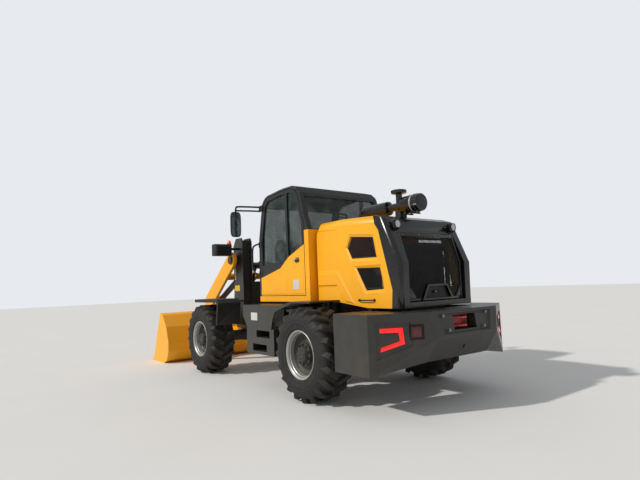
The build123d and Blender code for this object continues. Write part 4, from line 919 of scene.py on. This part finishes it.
# Runs as (x, distance from the middle or off the door, z)
HANDLE_RUN = ((-1.250, 0.0, 1.664), (-1.250, 0.034, 1.664), (-1.215, 0.040, 1.660),
              (-1.172, 0.038, 1.652))
HANDRAIL_RUN = ((-0.235, 0.690, 1.960), (-0.150, 0.748, 1.945), (-0.108, 0.750, 1.876),
                (-0.106, 0.750, 1.720), (-0.110, 0.750, 1.577), (-0.190, 0.748, 1.515),
                (-0.267, 0.690, 1.476))


def on_side(hand, run, base=0.0):
    """Points of a run carried to one side, and off a face there."""
    return [(x, base + hand * y, z) for x, y, z in run]


class LOADER_OT_cab_trim(bpy.types.Operator):
    """Door handles, locks, blank labels and handrails of the cab"""

    bl_idname = "loader.cab_trim"
    bl_label = "Cab trim"

    def execute(self, context):
        for hand, side in SIDES.items():
            door = f"door_{side}"
            y = hand * DOOR_FACE_Y
            bm = bmesh.new()
            prism(bm, HANDLE_PLATE, "y", *sorted((y, y + hand * 0.012)))
            rounded(bm, 0.005, 3)
            finish(bm, f"handle_plate_{side}", door, "trim")
            tube(f"door_handle_{side}", on_side(hand, HANDLE_RUN, y), 0.007, door, "silver")

            bm = bmesh.new()
            bar(bm, (-1.186, y + hand * 0.010, 1.632), (-1.186, y + hand * 0.015, 1.632),
                0.010, 20)
            finish(bm, f"door_lock_{side}", door, "bolt")

            bm = bmesh.new()
            prism(bm, DOOR_LABEL, "y", *sorted((y - hand * 0.001, y + hand * 0.0022)))
            rounded(bm, 0.0008, 1)
            finish(bm, f"door_label_{side}", door, "plate")
            tube(f"cab_handrail_{side}", on_side(hand, HANDRAIL_RUN), 0.013, "rear_frame",
                 "trim")
        return {"FINISHED"}


def cushion(name, low, high, puff, turn=Matrix.Identity(3)):
    """Padded block: crowned faces, rolled edges and rows of sewn dimples."""
    bm = bmesh.new()
    bmesh.ops.create_cube(bm, size=2)
    bmesh.ops.subdivide_edges(bm, edges=bm.edges[:], cuts=24, use_grid_fill=True)
    low, high = Vector(low), Vector(high)
    half, middle = (high - low) / 2, (low + high) / 2
    thin = min(range(3), key=lambda k: half[k])
    across = [k for k in range(3) if k != thin]
    for vert in bm.verts:
        place = vert.co.copy()
        a, b = place[across[0]], place[across[1]]
        edge = max(abs(a), abs(b))
        # fullest in the middle, with a rolled rim
        crown = (1 - abs(a) ** 4) * (1 - abs(b) ** 4)
        roll = 1 - 0.20 * max(0.0, edge - 0.8) / 0.2 * (abs(place[thin]) > 0.9)
        place[thin] *= roll * (0.72 + 0.28 * crown ** 0.5)
        # sewn dimples on both faces
        dimple = puff * 0.5 * (cos(a * pi * 2.5) ** 8) * (abs(b) < 0.72) * (1 - abs(a))
        place[thin] -= dimple * (1 if place[thin] > 0 else -1) * (abs(place[thin]) > 0.5)
        for k in across:
            place[k] *= 1 - 0.06 * abs(vert.co[thin]) ** 2
        vert.co = Vector([middle[k] + place[k] * half[k] for k in range(3)])
    bmesh.ops.rotate(bm, cent=middle, matrix=turn, verts=bm.verts[:])
    piece = finish(bm, name, "rear_frame", "cloth", crease=pi)
    return piece


class LOADER_OT_seat(bpy.types.Operator):
    """Padded seat: cushion, back rest, head rest, arm rests and its folded stand"""

    bl_idname = "loader.seat"
    bl_label = "Seat"

    def execute(self, context):
        low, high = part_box("seat")
        front = high.x
        lean = Matrix.Rotation(radians(-8), 3, "Y")
        piece = cushion("seat_cushion", (front - 0.49, -0.235, 1.435),
                        (front - 0.01, 0.235, 1.545), 0.06)
        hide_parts("seat")
        cushion("seat_back", (front - 0.545, -0.225, 1.550), (front - 0.435, 0.225, 1.985),
                0.06, lean)
        cushion("head_rest", (front - 0.575, -0.13, 1.965), (front - 0.495, 0.13, 2.055),
                0.02, lean)
        for hand, side in SIDES.items():
            y_low, y_high = beside(hand, 0.185, 0.240)
            cushion(f"arm_rest_{side}", (front - 0.44, y_low, 1.66),
                    (front - 0.16, y_high, 1.70), 0.0)
        bm = bmesh.new()
        brick(bm, (front - 0.47, -0.20, 1.395), (front - 0.04, 0.20, 1.432))
        for level in range(6):
            z = low.z + 0.02 + level * 0.035
            inset = 0.012 * (level % 2)
            brick(bm, (front - 0.42 + inset, -0.16 + inset, z),
                  (front - 0.09 - inset, 0.16 - inset, z + 0.0345))
        brick(bm, (front - 0.46, -0.18, low.z), (front - 0.06, 0.18, low.z + 0.02))
        finish(bm, "seat_stand", "rear_frame", "trim", bevel=0.006)
        return {"FINISHED"}


MIRROR_Y = 1.062
MIRROR_HALF = 0.083
MIRROR_LOW_Z, MIRROR_HIGH_Z = 2.052, 2.418
MIRROR_POINTS = 40
MIRROR_SQUARENESS = 5
MIRROR_BAR = ((-0.274, 0.706, 2.498), (-0.250, 0.800, 2.500), (-0.194, 1.035, 2.500),
              (-0.188, 1.052, 2.480), (-0.183, 1.058, 2.300), (-0.183, 1.060, 2.080))
MIRROR_STAY = ((-0.274, 0.706, 2.440), (-0.190, 1.050, 2.440))


class LOADER_OT_mirrors(bpy.types.Operator):
    """Mirrors: a rounded tall housing, its glass, the two-bar arm and the bracket"""

    bl_idname = "loader.mirrors"
    bl_label = "Mirrors"

    def execute(self, context):
        middle_z = (MIRROR_LOW_Z + MIRROR_HIGH_Z) / 2
        half_z = (MIRROR_HIGH_Z - MIRROR_LOW_Z) / 2
        for hand, side in SIDES.items():
            centre_y = hand * MIRROR_Y
            outline = []
            for k in range(MIRROR_POINTS):
                turn = 2 * pi * k / MIRROR_POINTS
                squared = (abs(cos(turn)) ** MIRROR_SQUARENESS
                           + abs(sin(turn)) ** MIRROR_SQUARENESS) ** (-1 / MIRROR_SQUARENESS)
                outline.append((centre_y + MIRROR_HALF * cos(turn) * squared,
                                middle_z + half_z * sin(turn) * squared))
            bm = bmesh.new()
            prism(bm, outline, "x", -0.214, -0.187)
            rounded(bm, 0.009, 3)
            finish(bm, f"mirror_case_{side}", "rear_frame", "trim",
                   replaces=("mirrors",) if hand > 0 else ())

            bm = bmesh.new()
            pane = [(centre_y + (y - centre_y) * 0.86, middle_z + (z - middle_z) * 0.94)
                    for y, z in outline]
            prism(bm, pane, "x", -0.2148, -0.208)
            finish(bm, f"mirror_glass_{side}", "rear_frame", "mirror")
            tube(f"mirror_bar_{side}", on_side(hand, MIRROR_BAR), 0.013, "rear_frame", "trim")
            tube(f"mirror_stay_{side}", on_side(hand, MIRROR_STAY), 0.012, "rear_frame", "trim",
                 smooth=False)

            bm = bmesh.new()
            y_low, y_high = beside(hand, 0.701, 0.712)
            brick(bm, (-0.368, y_low, 2.425), (-0.262, y_high, 2.515))
            y_low, y_high = beside(hand, 1.040, 1.078)
            for z in (2.300, 2.180):
                brick(bm, (-0.190, y_low, z - 0.012), (-0.175, y_high, z + 0.012))
            finish(bm, f"mirror_bracket_{side}", "rear_frame", "trim", bevel=0.002)
        return {"FINISHED"}


CLEANER_Y, CLEANER_Z = 0.080, 2.205
CLEANER_DRUM = [
    # x, radius: the drum, the neck and the muffler's barrel
    (-2.850, 0.0), (-2.850, 0.070), (-2.846, 0.092), (-2.838, 0.100), (-2.800, 0.102),
    (-2.797, 0.106), (-2.785, 0.106), (-2.782, 0.102), (-2.700, 0.102), (-2.697, 0.105),
    (-2.690, 0.105), (-2.687, 0.102), (-2.600, 0.102), (-2.580, 0.098), (-2.566, 0.084),
    (-2.560, 0.050), (-2.545, 0.046), (-2.340, 0.046), (-2.330, 0.080), (-2.325, 0.085),
    (-1.905, 0.085), (-1.900, 0.080), (-1.900, 0.0),
]
RAIN_CAP = [
    # z, radius: the intake's stem and its cap
    (2.200, 0.0), (2.200, 0.038), (2.348, 0.038), (2.352, 0.060), (2.360, 0.090),
    (2.392, 0.094), (2.398, 0.088), (2.404, 0.060), (2.408, 0.020), (2.408, 0.0),
]
CLAMP_X = -2.742
CLAMP_RING = [(CLAMP_X - 0.009, 0.1015), (CLAMP_X - 0.009, 0.1042),
              (CLAMP_X + 0.009, 0.1042), (CLAMP_X + 0.009, 0.1015)]


class LOADER_OT_air_cleaner(bpy.types.Operator):
    """Air cleaner: drum with clamp ring, intake with rain cap, brackets and outlet hose"""

    bl_idname = "loader.air_cleaner"
    bl_label = "Air cleaner"

    def execute(self, context):
        y, z = CLEANER_Y, CLEANER_Z
        bm = bmesh.new()
        lathe(bm, CLEANER_DRUM, (0, y, z), FORWARD, 64)
        lathe(bm, RAIN_CAP, (-2.500, y, 0), UPWARD, 56)
        finish(bm, "cleaner_drum", "rear_frame", "gloss_black", replaces=("air_cleaner",))

        bm = bmesh.new()
        lathe(bm, CLAMP_RING, (0, y, z), FORWARD, 64)
        brick(bm, (CLAMP_X - 0.010, y - 0.016, z + 0.098),
              (CLAMP_X + 0.010, y + 0.016, z + 0.108))
        finish(bm, "cleaner_clamps", "rear_frame", "silver", bevel=0.001)

        bm = bmesh.new()
        for x in (CLAMP_X, -2.634):
            for side in (-0.05, 0.05):
                brick(bm, (x - 0.012, y + side - 0.010, 2.085),
                      (x + 0.012, y + side + 0.010, 2.12))
            brick(bm, (x - 0.012, y - 0.075, 2.085), (x + 0.012, y + 0.075, 2.100))
        brick(bm, (-2.560, y - 0.055, 2.062), (-2.475, y + 0.055, 2.150))
        finish(bm, "cleaner_brackets", "rear_frame", "trim", bevel=0.003)
        tube("outlet_hose", [(-1.905, y, z), (-1.858, y, z), (-1.842, y, z - 0.055),
                             (-1.842, y, 2.090)], 0.055, "rear_frame", "seal", sides=8)

        bm = bmesh.new()
        for k in range(7):
            hoop(bm, (-2.30 + 0.055 * k, y, z), FORWARD, 0.0845, 0.0025, 48, 6)
        finish(bm, "muffler_ribs", "rear_frame", "gloss_black")
        return {"FINISHED"}


HEAD_LAMP_LOW_Z, HEAD_LAMP_HIGH_Z = 1.853, 2.047
INDICATOR = [
    # z, radius
    (2.047, 0.0), (2.047, 0.037), (2.060, 0.037), (2.064, 0.033), (2.096, 0.027),
    (2.107, 0.018), (2.109, 0.0),
]
# Distance in front of the housing, radius
WORK_LAMP_RIM = [(0.0, 0.046), (0.006, 0.046), (0.008, 0.044), (0.008, 0.040), (0.003, 0.038),
                 (0.003, 0.0)]
WORK_LAMP_PANE = [(0.0, 0.0385), (0.0015, 0.036), (0.003, 0.0)]
WORK_LAMP_CELL = [(0.0, 0.0085), (0.0016, 0.006), (0.0022, 0.0)]
WORK_LAMP_HALF = 0.0525


class LOADER_OT_front_lamps(bpy.types.Operator):
    """Head lamps and indicators on the tower, and the work lamps at the hood's rear"""

    bl_idname = "loader.front_lamps"
    bl_label = "Lamps"

    def execute(self, context):
        for hand, side in SIDES.items():
            low_y, high_y = beside(hand, 0.648, 0.952)
            bm = bmesh.new()
            brick(bm, (0.740, low_y, HEAD_LAMP_LOW_Z), (0.880, high_y, HEAD_LAMP_HIGH_Z))
            back = [edge for edge in bm.edges
                    if all(vert.co.x < 0.75 for vert in edge.verts)]
            bevel_edges(bm, back, 0.045, 5)
            rounded(bm, 0.010, 3)
            for z in (1.905, 1.950, 1.995):
                bar(bm, (0.7405, low_y + 0.07, z), (0.7405, high_y - 0.07, z), 0.006, 12)
            arm_low, arm_high = beside(hand, 0.508, 0.650)
            brick(bm, (0.760, arm_low, 1.945), (0.775, arm_high, 1.985))
            ring = [(low_y + 0.006, 1.859), (high_y - 0.006, 1.859), (high_y - 0.006, 2.041),
                    (low_y + 0.006, 2.041)]
            frame_ring(bm, ring, 0.020, "x", 0.868, 0.898)
            finish(bm, f"head_lamp_case_{side}", "front_frame", "trim",
                   replaces=("head_lamps",) if hand > 0 else ())

            bm = bmesh.new()
            brick(bm, (0.872, low_y + 0.026, 1.879), (0.888, high_y - 0.026, 2.021))
            rounded(bm, 0.006)
            finish(bm, f"head_lamp_lens_{side}", "front_frame", "lamp")

            bm = bmesh.new()
            lathe(bm, INDICATOR, (0.785, hand * 0.690, 0), UPWARD, 32)
            finish(bm, f"indicator_{side}", "front_frame", "orange_lens")

        low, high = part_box("work_lamps")
        centre_z = (low.z + high.z) / 2
        face_x = low.x + 0.008
        for hand, side in SIDES.items():
            y = hand * (high.y - WORK_LAMP_HALF)
            bm = bmesh.new()
            brick(bm, (face_x, y - WORK_LAMP_HALF, low.z), (high.x, y + WORK_LAMP_HALF, high.z))
            rounded(bm, 0.014, 4)
            lathe(bm, WORK_LAMP_RIM, (face_x, y, centre_z), BACKWARD, 40)
            finish(bm, f"work_lamp_case_{side}", "rear_frame", "gloss_black",
                   replaces=("work_lamps",) if hand > 0 else ())

            bm = bmesh.new()
            place = Vector((low.x + 0.005, y, centre_z))
            lathe(bm, WORK_LAMP_PANE, place, BACKWARD, 40)
            finish(bm, f"work_lamp_glass_{side}", "rear_frame", "lamp")

            bm = bmesh.new()
            for index in range(7):
                turn = index * pi / 3
                reach = 0.022 if index < 6 else 0.0
                spot = place + Vector((-0.0022, reach * cos(turn), reach * sin(turn)))
                lathe(bm, WORK_LAMP_CELL, spot, BACKWARD, 16)
            finish(bm, f"work_lamp_cells_{side}", "rear_frame", "silver")
        return {"FINISHED"}


# Side view of the dark sheets beside the engine bay: painted shade that fills the gap under the
# hood
BAY_SHADE_SHEET = [(-2.440, 0.930), (-1.580, 0.930), (-1.580, 1.160), (-1.640, 1.200),
              (-2.380, 1.200), (-2.440, 1.140)]
# The fender's edge, which both of its lips follow, then each lip's Y and its lower edge
FENDER_EDGE = [(1.179, 1.159), (0.345, 1.159), (0.286, 1.100), (0.341, 0.776)]
FENDER_LIPS = (
    (1.112, 1.1395, [(0.386, 0.776), (0.334, 1.086), (0.372, 1.112), (1.179, 1.112)]),
    (0.762, 0.785, [(0.370, 0.776), (0.318, 1.090), (0.360, 1.130), (1.179, 1.130)]),
)


class LOADER_OT_shade_sheets_and_lips(bpy.types.Operator):
    """Dark sheets of painted shade beside the engine bay, and the moulded lips of the front
    fenders
    """

    bl_idname = "loader.liners"
    bl_label = "Shade sheets and lips"

    def execute(self, context):
        # Dark trim sheets that stand in for the shade under the hood: painted shade
        bm = bmesh.new()
        for hand in SIDES:
            prism(bm, BAY_SHADE_SHEET, "y", *beside(hand, 0.452, 0.458))
        rounded(bm, 0.002, 1)
        finish(bm, "bay_shade_sheets", "rear_frame", "trim")

        bm = bmesh.new()
        for hand in SIDES:
            for near, far, lower_edge in FENDER_LIPS:
                prism(bm, FENDER_EDGE + lower_edge, "y", *beside(hand, near, far))
        rounded(bm, 0.008, 3)
        finish(bm, "fender_lips", "front_frame", "trim")
        return {"FINISHED"}


TOWER_FACE_Y = 0.505
SKIRT_FACE_Y = 1.050
OVAL_LABEL = [(0.948 + 0.030 * cos(2 * pi * k / 32), 1.590 + 0.135 * sin(2 * pi * k / 32))
              for k in range(32)]
SQUARE_LABEL = [(0.800, 1.270), (0.970, 1.270), (0.970, 1.363), (0.800, 1.363)]
SKIRT_LABEL = [(-0.738, 0.879), (-0.567, 0.879), (-0.567, 0.981), (-0.738, 0.981)]


class LOADER_OT_labels(bpy.types.Operator):
    """Blank labels on the tower and the platform skirt"""

    bl_idname = "loader.labels"
    bl_label = "Blank labels"

    def execute(self, context):
        for label, outline, face, body, kind in (
                ("oval_label", OVAL_LABEL, TOWER_FACE_Y, "front_frame", "plate"),
                ("yellow_label", SQUARE_LABEL, TOWER_FACE_Y, "front_frame", "yellow_plate"),
                ("skirt_label", SKIRT_LABEL, SKIRT_FACE_Y, "rear_frame", "plate")):
            bm = bmesh.new()
            for hand in SIDES:
                prism(bm, outline, "y", *beside(hand, face - 0.001, face + 0.0012))
            finish(bm, label, body, kind)
        return {"FINISHED"}


TOWER_HOSE = ((0.700, 0.300, 1.000), (0.700, 0.300, 1.350), (0.735, 0.255, 1.560),
              (0.800, 0.190, 1.640), (0.840, 0.120, 1.720))
TOWER_BOLT_X, TOWER_BOLT_REACH = 0.905, 0.048
BLADE = [(2.985, 0.0162), (2.990, 0.0215), (3.170, 0.0215), (3.215, 0.0162)]
BLADE_TOP_Z = 0.0215
BLADE_HALF = 1.168


class LOADER_OT_linkage_trim(bpy.types.Operator):
    """Hoses and bolts of the tower, and the bucket's blade with its bolts"""

    bl_idname = "loader.linkage_trim"
    bl_label = "Linkage trim"

    def execute(self, context):
        for hand, side in SIDES.items():
            for k, shift in enumerate((0.0, 0.035)):
                tube(f"tower_hose_{side}_{k}",
                     [(x + shift, hand * y, z) for x, y, z in TOWER_HOSE],
                     0.012, "front_frame", "seal", sides=4)
            bm = bmesh.new()
            for z in (1.790, 1.520):
                for index in range(4):
                    turn = index * pi / 2 + pi / 4
                    spot = (TOWER_BOLT_X + TOWER_BOLT_REACH * cos(turn), hand * TOWER_FACE_Y,
                            z + TOWER_BOLT_REACH * sin(turn))
                    hex_bolt(bm, spot, (0, hand, 0), 0.015)
            finish(bm, f"tower_bolts_{side}", "front_frame", "bolt", crease=BOLT_CREASE_ANGLE)

        bm = bmesh.new()
        for index in range(9):
            for x in (3.115, 3.040):
                hex_bolt(bm, (x, (index - 4) * 0.27, BLADE_TOP_Z), UPWARD, 0.030)
        prism(bm, BLADE, "y", -BLADE_HALF, BLADE_HALF)
        finish(bm, "bucket_blade", "bucket", "worn", crease=BOLT_CREASE_ANGLE)
        return {"FINISHED"}


FLOOR_HALF = 60
SUN_PLACE = Vector((2.6, 8.0, 6.2))


def lay_floor(scene):
    """Pale floor, mottled a little."""
    bm = bmesh.new()
    bmesh.ops.create_grid(bm, x_segments=1, y_segments=1, size=FLOOR_HALF)
    mesh = bpy.data.meshes.new("floor")
    bm.to_mesh(mesh)
    bm.free()
    floor = bpy.data.objects.new("floor", mesh)
    scene.collection.objects.link(floor)
    material, tree, shader, where = graph("pale_floor")
    tone = colour_mix(tree, noise(tree, where, 0.8, 6.0), (0.72, 0.71, 0.69),
                      (0.77, 0.76, 0.74))
    dress(tree, shader, {"Base Color": tone, "Roughness": 0.9})
    mesh.materials.append(material)


def light_sky(scene):
    """World that lights softly, and looks brighter to the camera than it lights."""
    world = bpy.data.worlds.new("pale_sky")
    world.use_nodes = True
    tree = world.node_tree
    path = tree.nodes.new("ShaderNodeLightPath")
    strength = ramp(tree, path.outputs["Is Camera Ray"], 0.0, 1.0, 0.50, 0.86)
    dress(tree, tree.nodes["Background"], {"Color": (0.93, 0.96, 1.0), "Strength": strength})
    scene.world = world


def hang_sun(scene, strength):
    """Low soft sun from the left."""
    sun = bpy.data.lights.new("sun", "SUN")
    sun.energy = strength
    sun.angle = radians(2.0)
    sun.color = (1.0, 0.97, 0.92)
    holder = bpy.data.objects.new("sun", sun)
    holder.matrix_world = Matrix.Translation(SUN_PLACE) @ turn_to(SUN_PLACE)
    scene.collection.objects.link(holder)


def stand_camera(scene, view):
    """Camera at the photograph's place and angle."""
    yaw, pitch, roll = view.camera_yaw, view.camera_pitch, view.camera_roll
    ahead = Vector((cos(yaw) * cos(pitch), sin(yaw) * cos(pitch), sin(pitch)))
    right = Vector((sin(yaw), -cos(yaw), 0))
    above = right.cross(ahead)
    turned_right = right * cos(roll) + above * sin(roll)
    turned_above = above * cos(roll) - right * sin(roll)
    turn = Matrix((turned_right, turned_above, -ahead)).transposed().to_4x4()
    camera = bpy.data.cameras.new("camera")
    camera.lens = view.camera_lens
    camera.sensor_width = 36.0
    camera.clip_end = 200.0
    holder = bpy.data.objects.new("camera", camera)
    holder.matrix_world = Matrix.Translation(view.camera_place) @ turn
    scene.collection.objects.link(holder)
    scene.camera = holder


class LOADER_OT_stage(bpy.types.Operator):
    """Floor, world, sun and camera"""

    bl_idname = "loader.stage"
    bl_label = "Stage"

    def execute(self, context):
        scene = context.scene
        lay_floor(scene)
        light_sky(scene)
        hang_sun(scene, scene.loader_view.sun_strength)
        stand_camera(scene, scene.loader_view)
        scene.view_settings.view_transform = "Standard"
        return {"FINISHED"}


class LOADER_PT_panel(bpy.types.Panel):
    """Sidebar panel with the loader's settings and steps"""

    bl_idname = "LOADER_PT_panel"
    bl_label = "Wheel loader"
    bl_space_type = "VIEW_3D"
    bl_region_type = "UI"
    bl_category = "Loader"

    def draw(self, context):
        for group in (context.scene.loader_finishes, context.scene.loader_view):
            for name in group.__annotations__:
                self.layout.prop(group, name)
        for step in STEPS:
            self.layout.operator(step.bl_idname)


STEPS = (
    LOADER_OT_finishes,
    LOADER_OT_tyres,
    LOADER_OT_rims,
    LOADER_OT_rear_grille,
    LOADER_OT_hood_trim,
    LOADER_OT_rear_lamps,
    LOADER_OT_rear_bolts,
    LOADER_OT_cab_trim,
    LOADER_OT_seat,
    LOADER_OT_mirrors,
    LOADER_OT_air_cleaner,
    LOADER_OT_front_lamps,
    LOADER_OT_shade_sheets_and_lips,
    LOADER_OT_labels,
    LOADER_OT_linkage_trim,
    LOADER_OT_stage,
)
SETTINGS = (
    ("loader_finishes", LoaderFinishes),
    ("loader_view", LoaderView),
)


def register():
    """Register the settings, the operators and the panel."""
    for name, group in SETTINGS:
        bpy.utils.register_class(group)
        setattr(bpy.types.Scene, name, bpy.props.PointerProperty(type=group))
    for step in (*STEPS, LOADER_PT_panel):
        bpy.utils.register_class(step)


def unregister():
    """Take out what register put in."""
    for step in (*STEPS, LOADER_PT_panel):
        bpy.utils.unregister_class(step)
    for name, group in SETTINGS:
        delattr(bpy.types.Scene, name)
        bpy.utils.unregister_class(group)


def main():
    """Run every step in order."""
    register()
    for step in STEPS:
        family, action = step.bl_idname.split(".")
        getattr(getattr(bpy.ops, family), action)()


if __name__ == "__main__":
    main()
